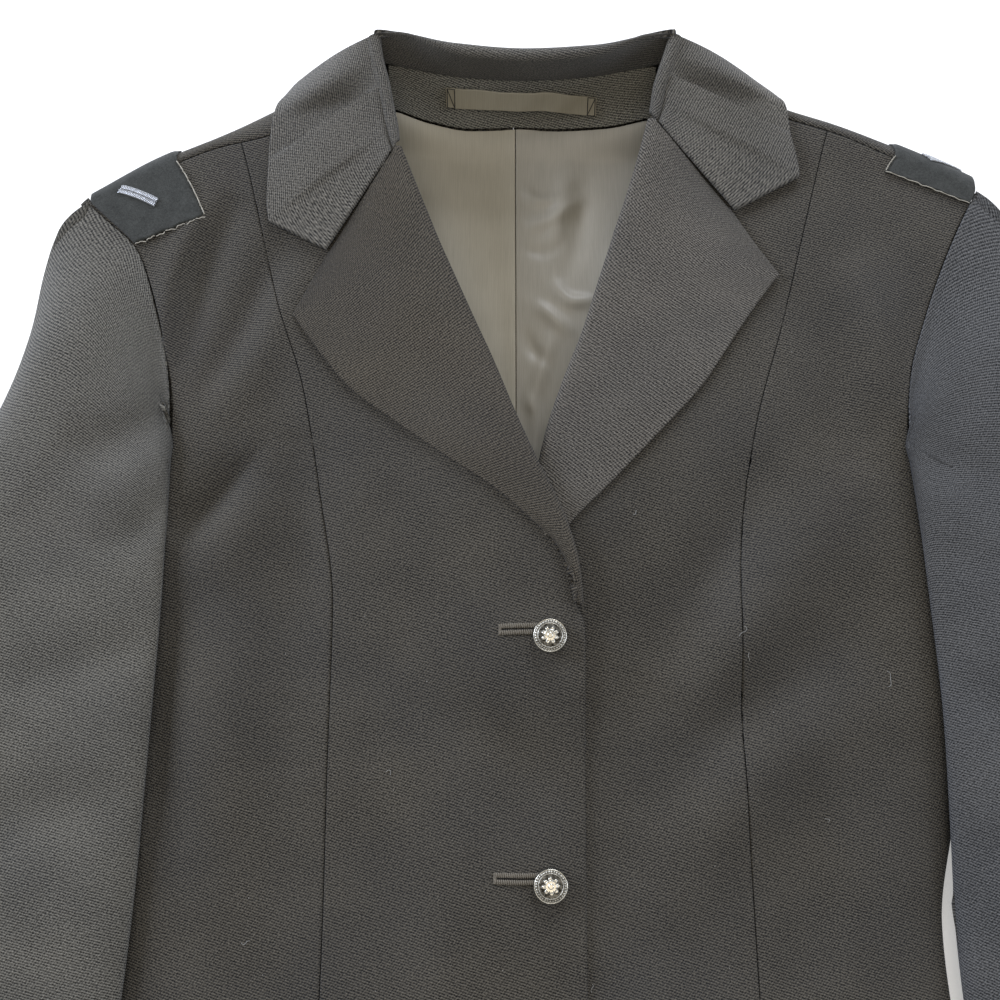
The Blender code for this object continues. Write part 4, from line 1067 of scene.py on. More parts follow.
def wall_faces(rows: int, columns: int) -> Array:
    """Quads of a closed wall: outer face, inner face, and the four edges.

    Args:
        rows, columns: how many places the outer face has each way.
    Returns:
        The quads, as four indices each.
    """
    outer = np.arange(rows * columns).reshape(rows, columns)
    inner = outer + rows * columns

    def quads(a: Array, b: Array, c: Array, d: Array) -> Array:
        """Four grids of corners as a list of quads."""
        return np.stack([a, b, c, d], axis=-1).reshape(-1, 4)

    rim = np.concatenate([outer[0], outer[1:, -1], outer[-1, -2::-1], outer[-2:0:-1, 0]])
    inner_rim = rim + rows * columns
    return np.concatenate([
        quads(outer[:-1, :-1], outer[1:, :-1], outer[1:, 1:], outer[:-1, 1:]),
        quads(inner[:-1, :-1], inner[:-1, 1:], inner[1:, 1:], inner[1:, :-1]),
        quads(rim, np.roll(rim, -1), np.roll(inner_rim, -1), inner_rim),
    ])


def shares(count: int, width: float, close: tuple[float, ...] = CLOSE_LINES) -> Array:
    """Even steps from 0 to 1, with closer ones by both ends.

    Args:
        count: how many even steps there are.
        width: the real width in millimetres.
        close: distances of the added lines from each end, in millimetres.
    Returns:
        The steps, rising from 0 to 1.
    """
    near = np.array(close) / width
    even = np.linspace(near[-1] * 1.8, 1 - near[-1] * 1.8, count)
    return np.concatenate([[0.0], near, even, 1 - near[::-1], [1.0]])


def rounded(grid: Array, normal: Array, radius: float, edges: str = "tblr") -> Array:
    """The grid with its borders rolled over by a quarter circle.

    A point at a distance d inside a border, less than the radius, sinks by
    radius - sqrt(radius^2 - (radius - d)^2).

    Args:
        grid: the outer face.
        normal: its normals.
        radius: the roll's radius in millimetres.
        edges: which borders roll: first and last row (t, b), first and last column (l, r).
    Returns:
        The new grid.
    """
    down, across = lengths(grid, 0), lengths(grid, 1)
    away = {"t": down, "b": down[-1:] - down, "l": across, "r": across[:, -1:] - across}
    nearest = np.min([away[edge] for edge in edges], axis=0)
    inside = np.clip(radius - nearest, 0, radius)
    sink = radius - np.sqrt(np.maximum(radius**2 - inside**2, 0))
    return grid - normal * (sink * 0.85)[..., None]


@dataclass
class ClothPiece:
    """One cut piece of cloth as a thin closed wall behind its outer face.

    Fields: the piece's name, the nodes it stands for, its outer grid, the
    wall's thickness, its finish, a slot name (not used), the pieces it rests
    on (not used), its cloth measures, the radius that its borders roll by and
    which of them do, its normals if they aren't the grid's own, and how it is
    held (not used).
    """

    name: str
    nodes: tuple[str, ...]
    grid: Array
    thickness: float
    finish: Finish
    slot: str
    rests_on: tuple[str, ...] = ()
    uv: Array | None = None
    roll: float = 0.7
    edges: str = "tblr"
    normal: Array | None = None
    held: str = "laid"

    def build(self) -> Piece:
        """Makes the wall, rides it on the frame and logs its cut and area.

        Returns:
            The piece's object.
        """
        normal = normals(self.grid) if self.normal is None else self.normal
        outer = rounded(self.grid, normal, self.roll, self.edges) if self.roll else self.grid
        inner = self.grid - normal * self.thickness
        uv = self.measures() if self.uv is None else self.uv
        places = np.concatenate([outer.reshape(-1, 3), inner.reshape(-1, 3)])
        twice = np.concatenate([uv.reshape(-1, 2)] * 2)
        made = new_piece(self.name, places, wall_faces(*outer.shape[:2]), self.finish, twice)
        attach(made, ROOT)
        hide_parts(*self.nodes)
        width, length = self.cut()
        area = self.area()
        list(self.rests_on)
        logging.info("%s: cut %.0f x %.0f mm, area %.4f m2", self.name, width * 1000, length * 1000, area)
        return made

    def measures(self) -> Array:
        """Cloth measures from the grid's own lengths, across and down its middle.

        Returns:
            Across and down at each place, in millimetres.
        """
        across, down = lengths(self.grid, 1), lengths(self.grid, 0)
        middle = self.grid.shape[1] // 2
        across = across - across[:, middle : middle + 1]
        return np.stack([across, down[:, middle : middle + 1] + 0 * across], -1)

    def cut(self) -> tuple[float, float]:
        """Width and length of the flat cut in metres: the longest row and column."""
        return float(lengths(self.grid, 1)[:, -1].max() * MM), float(lengths(self.grid, 0)[-1].max() * MM)

    def area(self) -> float:
        """Area in square metres: half the cross product of each quad's diagonals.

        Returns:
            The area.
        """
        one = self.grid[1:, 1:] - self.grid[:-1, :-1]
        two = self.grid[1:, :-1] - self.grid[:-1, 1:]
        return float(np.linalg.norm(np.cross(one, two), axis=-1).sum() / 2 * MM * MM)


def tube(path: Array, radius: float | Array, sides: int = 8) -> tuple[Array, Array]:
    """A closed tube round a path.

    Each ring is a circle across the path's direction, in a frame that keeps
    one axis as near upright as it can; the two ends shrink to small caps.

    Args:
        path: the middle line's points in millimetres.
        radius: its radius in millimetres, one number or one for each point.
        sides: how many sides it has.
    Returns:
        The places and the quads.
    """
    radius = np.broadcast_to(np.asarray(radius, float), (len(path),)).copy()
    radius[[0, -1]] *= 0.15
    along = unit(np.gradient(path, axis=0))
    across = unit(np.cross(along, np.array([0.013, 0.029, 1.0])))
    rise = np.cross(across, along)
    angle = np.linspace(0, 2 * np.pi, sides, endpoint=False)[None, :, None]
    ring = across[:, None] * np.cos(angle) + rise[:, None] * np.sin(angle)
    places = path[:, None] + ring * radius[:, None, None]
    index = np.arange(len(path) * sides).reshape(len(path), sides)
    after = np.roll(index, -1, axis=1)
    faces = np.stack([index[:-1], index[1:], after[1:], after[:-1]], -1).reshape(-1, 4)
    caps = [index[0][[0, 1, 2, 3]], index[-1][[3, 2, 1, 0]]]
    for k in range(3, sides - 1, 2):
        caps += [index[0][[0, k, k + 1, (k + 2) % sides]], index[-1][[(k + 2) % sides, k + 1, k, 0]]]
    whole = [cap for cap in caps if len(set(cap.tolist())) == 4]
    return places.reshape(-1, 3), np.concatenate([faces, np.array(whole)])


def joined(parts: list[tuple[Array, Array]]) -> tuple[Array, Array]:
    """Several shapes as one: their places in a row and their quads moved on.

    Args:
        parts: the shapes as places and quads.
    Returns:
        The places and the quads.
    """
    starts = np.cumsum([0] + [len(places) for places, _ in parts[:-1]])
    faces = [quads + start for (_, quads), start in zip(parts, starts)]
    return np.concatenate([places for places, _ in parts]), np.concatenate(faces)


def trim(name: str, parts: list[tuple[Array, Array]], finish: Finish) -> Piece:
    """A small sewn or drawn piece that rides on the jacket.

    Args:
        name: the piece's name.
        parts: its shapes as places and quads.
        finish: its material.
    Returns:
        The object.
    """
    made = new_piece(name, *joined(parts), finish)
    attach(made, ROOT)
    logging.info("%s: %d faces", name, len(made.data.polygons))
    return made


# The jacket's sub-assemblies

# How an edge's normals are squared, so that two panels' edges stay parallel
UPRIGHT = (0, 0, 1)
SIDEWAYS = (1, 1, 0)


def turned_to(normal: Array, where: tuple, share: tuple[float, ...]) -> Array:
    """The normals with their parts along x, y and z scaled at some places.

    Args:
        normal: the normals of a grid.
        where: the rows and columns that are changed.
        share: what x, y and z are multiplied by.
    Returns:
        The new normals.
    """
    changed = normal.copy()
    changed[where] = changed[where] * np.array(share, float)
    return unit(changed)


def facing_up(grid: Array, side: Side) -> Array:
    """The grid with its columns in the order that makes the normals face up."""
    return grid if side is LEFT else grid[:, ::-1]


def round_the_side(side: Side, start: Array, stop: Array, share: Array, down: Array) -> Array:
    """x between two edges, closing up where a panel rolls over its side.

    The steps are even in the angle whose sine is the square of the distance
    out as a share of the half width.

    Args:
        side: the wearer's side.
        start, stop: x at the two edges.
        share: even steps from 0 to 1.
        down: how far down each place is.
    Returns:
        x at each place.
    """
    wide = FORM.half_width(start, down)
    ends = [np.arcsin(np.clip((edge - BODY_CENTRE) * side / wide, 0, 1) ** 2) for edge in (start, stop)]
    return BODY_CENTRE + side * wide * np.sqrt(np.sin(blend(*ends, share)))


@dataclass
class Fronts:
    """The centre fronts and the side fronts, from the shoulder to the hem."""

    rows: int = 212
    centre_columns: int = 40
    side_columns: int = 38
    length: float = 625.0
    panel_width: float = 90.0
    wall: float = 1.4
    armhole_foot: float = 216.0

    def panel(self, side: Side, inner: Callable, outer: Callable, columns: int, rolled: bool,
              gaps: tuple[float, float]) -> tuple[Array, Array]:
        """Places of a panel whose rows start on the shoulder seam.

        Args:
            side: the wearer's side.
            inner, outer: the panel's edges, as x for a distance down.
            columns: how many even columns it has.
            rolled: whether the columns close up where the panel rolls over its side.
            gaps: the gap at each edge, in millimetres.
        Returns:
            x and down of each place.
        """
        levels = self.length * shares(self.rows, self.length)[:, None]
        share = shares(columns, self.panel_width)[None, :]
        down = levels + 0 * share
        for _ in range(14):
            start, stop = inner(down) + side * gaps[0], outer(down) - side * gaps[1]
            x = round_the_side(side, start, stop, share, down) if rolled else blend(start, stop, share)
            down = FORM.row_downs(side, levels, np.abs(x))
        return x, down

    def surface(self, side: Side, x: Array, down: Array) -> Array:
        """The outer face: the shared height with the finer creases pressed in.

        Args:
            side: the wearer's side.
            x, down: the places.
        Returns:
            The grid of places.
        """
        height = FORM.side_height(x, down, side) - FORM.creased(x, down)
        return facing_up(points(x, -down, height), side)

    def build(self, wool: Finish) -> list[Piece]:
        """Makes the four panels and returns them.

        Args:
            wool: the cloth.
        Returns:
            The objects.
        """
        made = []
        for side in Side:
            def centre(down: Array) -> Array:
                """The centre front's free edge, or the line that its lapel folds on."""
                return curve(CENTRE_EDGE[side], "x", down)

            def princess(down: Array) -> Array:
                """The princess seam."""
                return side * curve(PRINCESS[side], "out", down)

            def outside(down: Array) -> Array:
                """The armhole and, below it, the side seam.

                Args:
                    down: how far down.
                Returns:
                    x of the edge.
                """
                armhole = curve(ARMHOLE_FRONT[side], "out", down)
                seam = curve(SIDE_SEAM[side], "out", down)
                return side * np.where(down < self.armhole_foot, armhole, seam)

            for name, node, inner, outer, columns, rolled, gaps in (
                ("centre_front", "front", centre, princess, self.centre_columns, False, (0, SEAM_GAP / 2)),
                ("side_panel", "side_front", princess, outside, self.side_columns, True, (SEAM_GAP / 2, 0)),
            ):
                x, down = self.panel(side, inner, outer, columns, rolled, gaps)
                grid = self.surface(side, x, down)
                normal = turned_to(normals(grid), (0, slice(None)), UPRIGHT)
                if rolled:
                    low = (down[:, 0] >= self.armhole_foot, -1 if side is LEFT else 0)
                    normal = turned_to(normal, low, SIDEWAYS)
                uv = facing_up(np.stack([x, down], -1), side)
                made.append(ClothPiece(f"{name}_{side.word}", (f"{node}_{side.word}",), grid, self.wall, wool, "wool",
                                       (f"half_back_{side.word}",), uv, 0.75, "tblr", normal).build())
        return made


@dataclass
class Back:
    """The two halves of the back, flat beneath and turned up at the shoulders."""

    rows: int = 120
    columns: int = 60
    turn_rows: int = 30
    top: float = 80.0
    length: float = 625.0
    width: float = 200.0
    wall: float = 1.4
    # Where the flat floor ends and the roll up to the side seam starts
    flat_share: float = 0.88
    # How much closer the columns lie towards the side
    crowding: float = 1.35
    # How far down the rows still bend to the shoulder
    bent: float = 110.0
    armhole_foot: float = 216.0

    def build(self, wool: Finish) -> list[Piece]:
        """Makes the two halves and returns them."""
        return [self.half(side, wool) for side in Side]

    def half(self, side: Side, wool: Finish) -> Piece:
        """One half: the floor, a roll up to the side seam, and the turned-up top.

        Args:
            side: the wearer's side.
            wool: the cloth.
        Returns:
            The object.
        """
        rows = BACK_TOP[side]
        share = shares(self.columns, self.width)[None, :]
        levels = blend(self.length, self.top, shares(self.rows, self.length - self.top)[:, None])
        middle = side * CENTRE_BACK + SEAM_GAP / 2
        down = levels + 0 * share
        for _ in range(14):
            armhole = curve(ARMHOLE_BACK[side], "out", down)
            seam = curve(SIDE_SEAM[side], "out", down)
            edge = np.where(down < self.armhole_foot, armhole, seam)
            out = blend(middle, edge, 1 - (1 - share) ** self.crowding)
            foot = sum(curves(rows, "outline turn", np.abs(out)))
            down = levels + (foot - self.top) * (1 - smooth((levels - self.top) / self.bent))
        u = np.abs(side * out - BODY_CENTRE) / FORM.half_width(side * out, down)
        roll = np.clip((u - self.flat_share) / (1 - self.flat_share), 0, 1)
        height = (curve(CROWN, "side", down) - SEAM_GAP) * (1 - np.sqrt(1 - roll**2))
        floor = points(side * out, -down, height)
        last = out[-1:, :]
        rise = np.linspace(0, 2, self.turn_rows + 1)[1:, None]
        up_down, up_height = FORM.back_rise(side, np.abs(last), rise)
        up_down = up_down - SHOULDER_GAP / 2 * smooth(rise - 1)
        top = points(side * last + 0 * rise, -up_down, up_height)
        grid = facing_up(np.concatenate([floor[:-1], floor[-1:], top]), side)
        normal = turned_to(normals(grid), (-1, slice(None)), UPRIGHT)
        below = np.concatenate([levels[:, 0] >= self.armhole_foot, np.zeros(len(top), bool)])
        normal = turned_to(normal, (below, -1 if side is LEFT else 0), SIDEWAYS)
        name = side.word
        return ClothPiece(f"half_back_{name}", (f"back_{name}",), grid, self.wall, wool, "wool", (), None, 0.6,
                          "tblr", normal).build()


@dataclass
class Sleeves:
    """Set-in two-piece sleeves, each a flattened tube beside and on the body."""

    rows: int = 190
    top_columns: int = 58
    under_columns: int = 34
    seams: tuple[float, float, float] = (-0.16, 1.16, 1.84)
    part: float = 0.006
    length: float = 560.0
    piece_width: float = 130.0
    wall: float = 1.3
    half_round: float = 70.0
    # How far each sleeve's head comes in and up at the seam of the armhole
    head_reach: float = 1.1
    head_rise: float = 0.7
    allowance_ends: tuple[float, float] = (62.0, 178.0)
    allowance_depth: float = 2.0
    # How far the inner fold lies in over the body, below the armhole
    fold_reach: float = 3.6
    # How near the inner fold, in turns, the creases fade out
    still_fold: float = 0.22

    def surface(self, side: Side, ring: Array, turn: Array) -> Array:
        """A sleeve's outer face, as places.

        turn goes once round from the outer edge (0) over the top to the inner
        crease (1) and back beneath (2). Each section is a squared-off oval,
        sqrt(1 - (1 - 2s)^4), between a top and a bottom height.

        Args:
            side: the wearer's side.
            ring: the section's row in the sleeve's table.
            turn: how far round.
        Returns:
            The places.
        """
        rows = {"ring": np.arange(len(SLEEVE[side]["inner"])), **SLEEVE[side]}
        inner, inner_down, outer, outer_down, join = curves(rows, "inner inner_down outer outer_down join", ring)
        share = (1 - np.cos(np.pi * turn)) / 2
        turn = np.mod(turn, 2)
        loop = ARMHOLE_LOOP[side]
        across, along = blend(outer, inner, share), blend(outer_down, inner_down, share)
        start = blend(rows["outer"][0], rows["inner"][0], share)
        start_down = blend(rows["outer_down"][0], rows["inner_down"][0], share)
        out = blend(curve(loop, "out", turn) + across - start, across, join)
        down = blend(curve(loop, "down", turn) + along - start_down, along, join)
        # The inner fold comes in over the body, less from the eighth ring on
        clear = smooth(ring / 3)
        near = smooth((turn - blend(0.95, 0.6, clear)) / blend(0.06, 0.35, clear)) * (1 - smooth((turn - 1.02) / 0.3))
        out = out - self.fold_reach * near * smooth(ring) * (1 - smooth((ring - 8) / 3))
        # The section between the outer edge and the crease
        under = FORM.support(side, out, down)
        oval = np.sqrt(np.clip(1 - (1 - 2 * share) ** 4, 0, 1))
        crease = FORM.support(side, inner, inner_down) + 4.0
        level = blend(curve(rows, "edge", ring), crease, share)
        top = level + np.maximum(curve(rows, "crown", ring) - level, 3.0) * oval
        section = np.where(turn <= 1, top, blend(level, 0.0, oval))
        # The first rings blend from the armhole's loop on the body
        over = 1.8 * smooth((turn - 0.75) / 0.25) + 2.8 * smooth((turn - 1.0) / 0.2)
        on_front = FORM.side_height(side * out, down, side) + LAY_GAP + over
        armhole = blend(0.0, on_front, curve(loop, "rise", turn))
        height = blend(armhole, section, smooth(ring / 3))
        # Beneath, the sleeve lies on the body's side and beyond it on the floor
        on_body = smooth(under / 4.0)
        bed = higher(height, under + (LAY_GAP + 1.0) * on_body, 1.5) - 0.75 * (1 - on_body)
        height = np.where(turn > 1, bed, height)
        # The head comes in and up to the armhole's seam
        head = (1 - smooth(ring / 0.35)) * (1 - smooth((turn - 0.74) / 0.18))
        tip = smooth((turn + 0.1) / 0.25)
        out, down = out - self.head_reach * head, down - 0.6 * self.head_reach * head * (1 - tip)
        height = height + self.head_rise * head * tip
        return points(side * out, -down, np.maximum(height, 0.0))

    def creased(self, side: Side, grid: Array, turn: Array) -> Array:
        """Depth of a sleeve's creases: a bell across lines on the sleeve's measures.

        Args:
            side: the wearer's side.
            grid: the sleeve's places.
            turn: how far round each of them is.
        Returns:
            The depth at each place.
        """
        down, round_it = -grid[..., 1], turn * self.half_round
        total = np.zeros_like(down)
        rows = SLEEVE_CREASES[side]
        for i, depth in enumerate(rows["depth"]):
            ends = [rows["start_turn"][i] * self.half_round, rows["end_turn"][i] * self.half_round]
            away, along = line_distance(round_it, down, ends, [rows["start_down"][i], rows["end_down"][i]], 24)
            total = total + SLEEVE_GAIN * depth * bell(away, along, rows["half_width"][i])
        return total

    def build(self, wool: dict[Side, Finish], body: Finish) -> list[Piece]:
        """Makes each sleeve's two pieces, parted along its lengthwise seams.

        Args:
            wool: the sleeves' cloth.
            body: the fronts' cloth, for the armholes' allowances.
        Returns:
            The objects.
        """
        made = []
        first, front_seam, back_seam = self.seams
        for side in Side:
            last = len(SLEEVE[side]["inner"]) - 1
            ring = last * shares(self.rows, self.length)[:, None]
            for piece, start, stop, columns in (
                ("top", first, front_seam, self.top_columns),
                ("under", front_seam, back_seam, self.under_columns),
            ):
                even = shares(columns, self.piece_width)[None, :]
                turn = blend(start + self.part, stop - self.part, even if piece == "top" else even**1.3)
                grid = self.surface(side, ring, turn)
                depth = self.creased(side, grid, turn)
                away = np.minimum(lengths(grid, 1), lengths(grid, 1)[:, -1:] - lengths(grid, 1))
                depth = depth * smooth(away / 9.0) * smooth(ring / 0.8) * blend(0.4, 1.0, smooth((ring - 1.5) / 3.5))
                depth = depth * smooth(np.abs(turn - 1) / self.still_fold)
                lay = np.where(grid[..., 2:3] > 1.5, 1.0, 0.0)
                grid = grid if side is RIGHT else grid[:, ::-1]
                depth = depth if side is RIGHT else depth[:, ::-1]
                lay = lay if side is RIGHT else lay[:, ::-1]
                grid = grid - normals(grid) * np.maximum(depth, -1.2)[..., None] * lay
                name = f"{piece}_sleeve_{side.word}"
                made.append(ClothPiece(f"cloth_{name}", (name,), grid, self.wall, wool[side], "wool",
                                       (f"side_panel_{side.word}",), None, 0.7).build())
            made.append(self.allowance(side, body))
        return made

    def allowance(self, side: Side, wool: Finish) -> Piece:
        """The armhole's seam allowance, turned out beneath the sleeve's head.

        It follows the armhole from the shoulder to the front crease, from just
        under the body's edge to a few millimetres inside the sleeve.

        Args:
            side: the wearer's side.
            wool: the fronts' cloth.
        Returns:
            The object.
        """
        down = blend(self.allowance_ends[0], self.allowance_ends[1], shares(110, 130.0)[:, None])
        edge = curve(ARMHOLE_FRONT[side], "out", down)
        slope = np.gradient(edge[:, 0])[:, None] / np.gradient(down[:, 0])[:, None]
        first, last = self.allowance_ends
        inside = smooth((down - first) / 16.0) * smooth((last - down) / 45.0)
        across = blend(-3.0, blend(2.0, 8.0, inside), np.linspace(0, 1, 13)[None, :])
        lean = np.sqrt(1 + slope**2)
        out, low = edge + across / lean, down - across * slope / lean
        sunk = self.allowance_depth + 3.0 * (1 - inside) + 0.03 * (across + 3.0) ** 2
        height = FORM.side_height(side * edge, down, side) - sunk
        grid = facing_up(points(side * out, -low, height), side)
        return ClothPiece(f"armhole_allowance_{side.word}", (f"side_front_{side.word}",), grid, 0.8, wool, "wool",
                          (f"side_panel_{side.word}",), None, 0.3).build()


@dataclass
class Lapels:
    """The two lapels: flat on their fronts and rolled round the fronts' edges."""

    rows: int = 130
    columns: int = 34
    arc_columns: int = 14
    reach_back: float = 8.0
    length: float = 230.0
    width: float = 60.0
    wall: float = 1.6

    def build(self, wool: dict[Side, Finish]) -> list[Piece]:
        """Makes both lapels and returns them."""
        return [self.lapel(side, wool[side]) for side in Side]

    def lapel(self, side: Side, wool: Finish) -> Piece:
        """One lapel: a ruled face from its edge to the fold, an arc, and a tail.

        Across, it runs straight from the edge to the arc's axis, round an arc
        from 88 to -66 degrees, and back a little way beneath the front.

        Args:
            side: the wearer's side.
            wool: the cloth.
        Returns:
            The object.
        """
        rows = {"step": np.arange(len(LAPEL[side]["roll_x"])), **LAPEL[side]}
        step = (len(rows["roll_x"]) - 1) * shares(self.rows, self.length)[:, None]
        roll = np.stack([curve(rows, "roll_x", step), -curve(rows, "roll_down", step)], -1)
        edge = np.stack([curve(rows, "edge_x", step), -curve(rows, "edge_down", step)], -1)
        along = unit(np.gradient(roll[:, 0, :], axis=0))
        out = np.stack([along[:, 1], -along[:, 0]], -1) * (1 if side is RIGHT else -1)
        out = out[:, None, :]
        radius = CLOTH / 2 + LAY_GAP + FACING
        axis = roll - out * radius
        close = shares(self.columns, self.width)[None, : -1 - len(CLOSE_LINES), None]
        even = np.linspace(0, close.max(), close.shape[1])[None, :, None]
        wide = np.linalg.norm(axis - edge, axis=-1, keepdims=True)
        share = blend(even, close, smooth((wide - 8) / 24))
        flat = blend(edge, axis, share)
        x, down = flat[..., 0], -flat[..., 1]
        belly = 0.55 * np.sin(np.pi * share[..., 0]) ** 2
        flat_height = FORM.side_height(x, down, side) + LAY_GAP + FACING + belly
        middle = FORM.side_height(axis[..., 0], -axis[..., 1], side) - CLOTH / 2
        angle = np.radians(np.linspace(88, -66, self.arc_columns))[None, :, None]
        arc = axis + out * radius * np.cos(angle)
        arc_height = middle + radius * np.sin(angle[..., 0])
        tail = axis - out * np.linspace(0.8, self.reach_back, 6)[None, :, None]
        tail_height = FORM.side_height(tail[..., 0], -tail[..., 1], side) - CLOTH - LAY_GAP - FACING
        places = np.concatenate([flat, arc, tail], axis=1)
        heights = np.concatenate([flat_height, arc_height, tail_height], axis=1)
        grid = facing_up(points(places[..., 0], places[..., 1], heights), side)
        name = f"lapel_{side.word}"
        return ClothPiece(f"revers_{side.word}", (name,), grid, self.wall, wool, "wool",
                          (f"centre_front_{side.word}",), None, 0.8).build()


@dataclass
class Collar:
    """The collar: stand and fall in one wall, folded over along its crest."""

    rows: int = 190
    stand_rows: int = 12
    crest_rows: int = 16
    fall_rows: int = 34
    length: float = 430.0
    wall: float = 2.0
    bow: float = 3.0
    end_bow: float = 0.4

    def build(self, wool: Finish) -> Piece:
        """Makes the collar from its sections: stand, half circle and bowed fall.

        Args:
            wool: the cloth.
        Returns:
            The object.
        """
        count = len(COLLAR_SECTIONS["seam_x"])
        rows = {"step": np.arange(count), **COLLAR_SECTIONS}
        step = (count - 1) * shares(self.rows, self.length)[:, None]

        def spot(name: str) -> Array:
            """One of the section's three points, all along the collar."""
            x, down, height = curves(rows, f"{name}_x {name}_down {name}_height", step)
            return points(x, -down, height)

        seam, fold, edge = spot("seam"), spot("fold"), spot("edge")
        on_front = FORM.garment_top(edge[..., 0], -edge[..., 1]) + LAY_GAP + COLLAR
        edge[..., 2] = np.where(edge[..., 2] > 0, edge[..., 2], on_front)
        radius = COLLAR + 0.8
        out = unit(edge[..., :2] - fold[..., :2])
        out = np.concatenate([out, np.zeros_like(out[..., :1])], axis=-1)
        rise = np.array([0, 0, 1.0])
        inner_foot = fold - rise * radius
        stand = blend(seam, inner_foot, np.linspace(0, 0.93, self.stand_rows)[None, :, None])
        angle = np.radians(np.linspace(180, 20, self.crest_rows))[None, :, None]
        crest = inner_foot + out * radius * (1 + np.cos(angle)) + rise * radius * np.sin(angle)
        share = np.concatenate([np.linspace(0, 1, self.fall_rows)[1:-1], [0.985, 0.993, 1.0]])[None, :, None]
        fall = blend(crest[:, -1:], edge, share)
        to_end = np.minimum(step, count - 1 - step)[..., None]
        bow = self.bow * (self.end_bow + (1 - self.end_bow) * smooth(to_end / 3))
        fall = fall + rise * bow * np.sin(np.pi * share)
        floor = FORM.garment_top(fall[..., 0], -fall[..., 1]) + LAY_GAP + COLLAR
        fall[..., 2] = higher(fall[..., 2], floor, 2.0)
        grid = np.concatenate([stand, crest, fall], axis=1)
        return ClothPiece("collar_fold", ("collar",), grid, self.wall, wool, "wool",
                          ("centre_front_left", "centre_front_right"), None, 0.9).build()


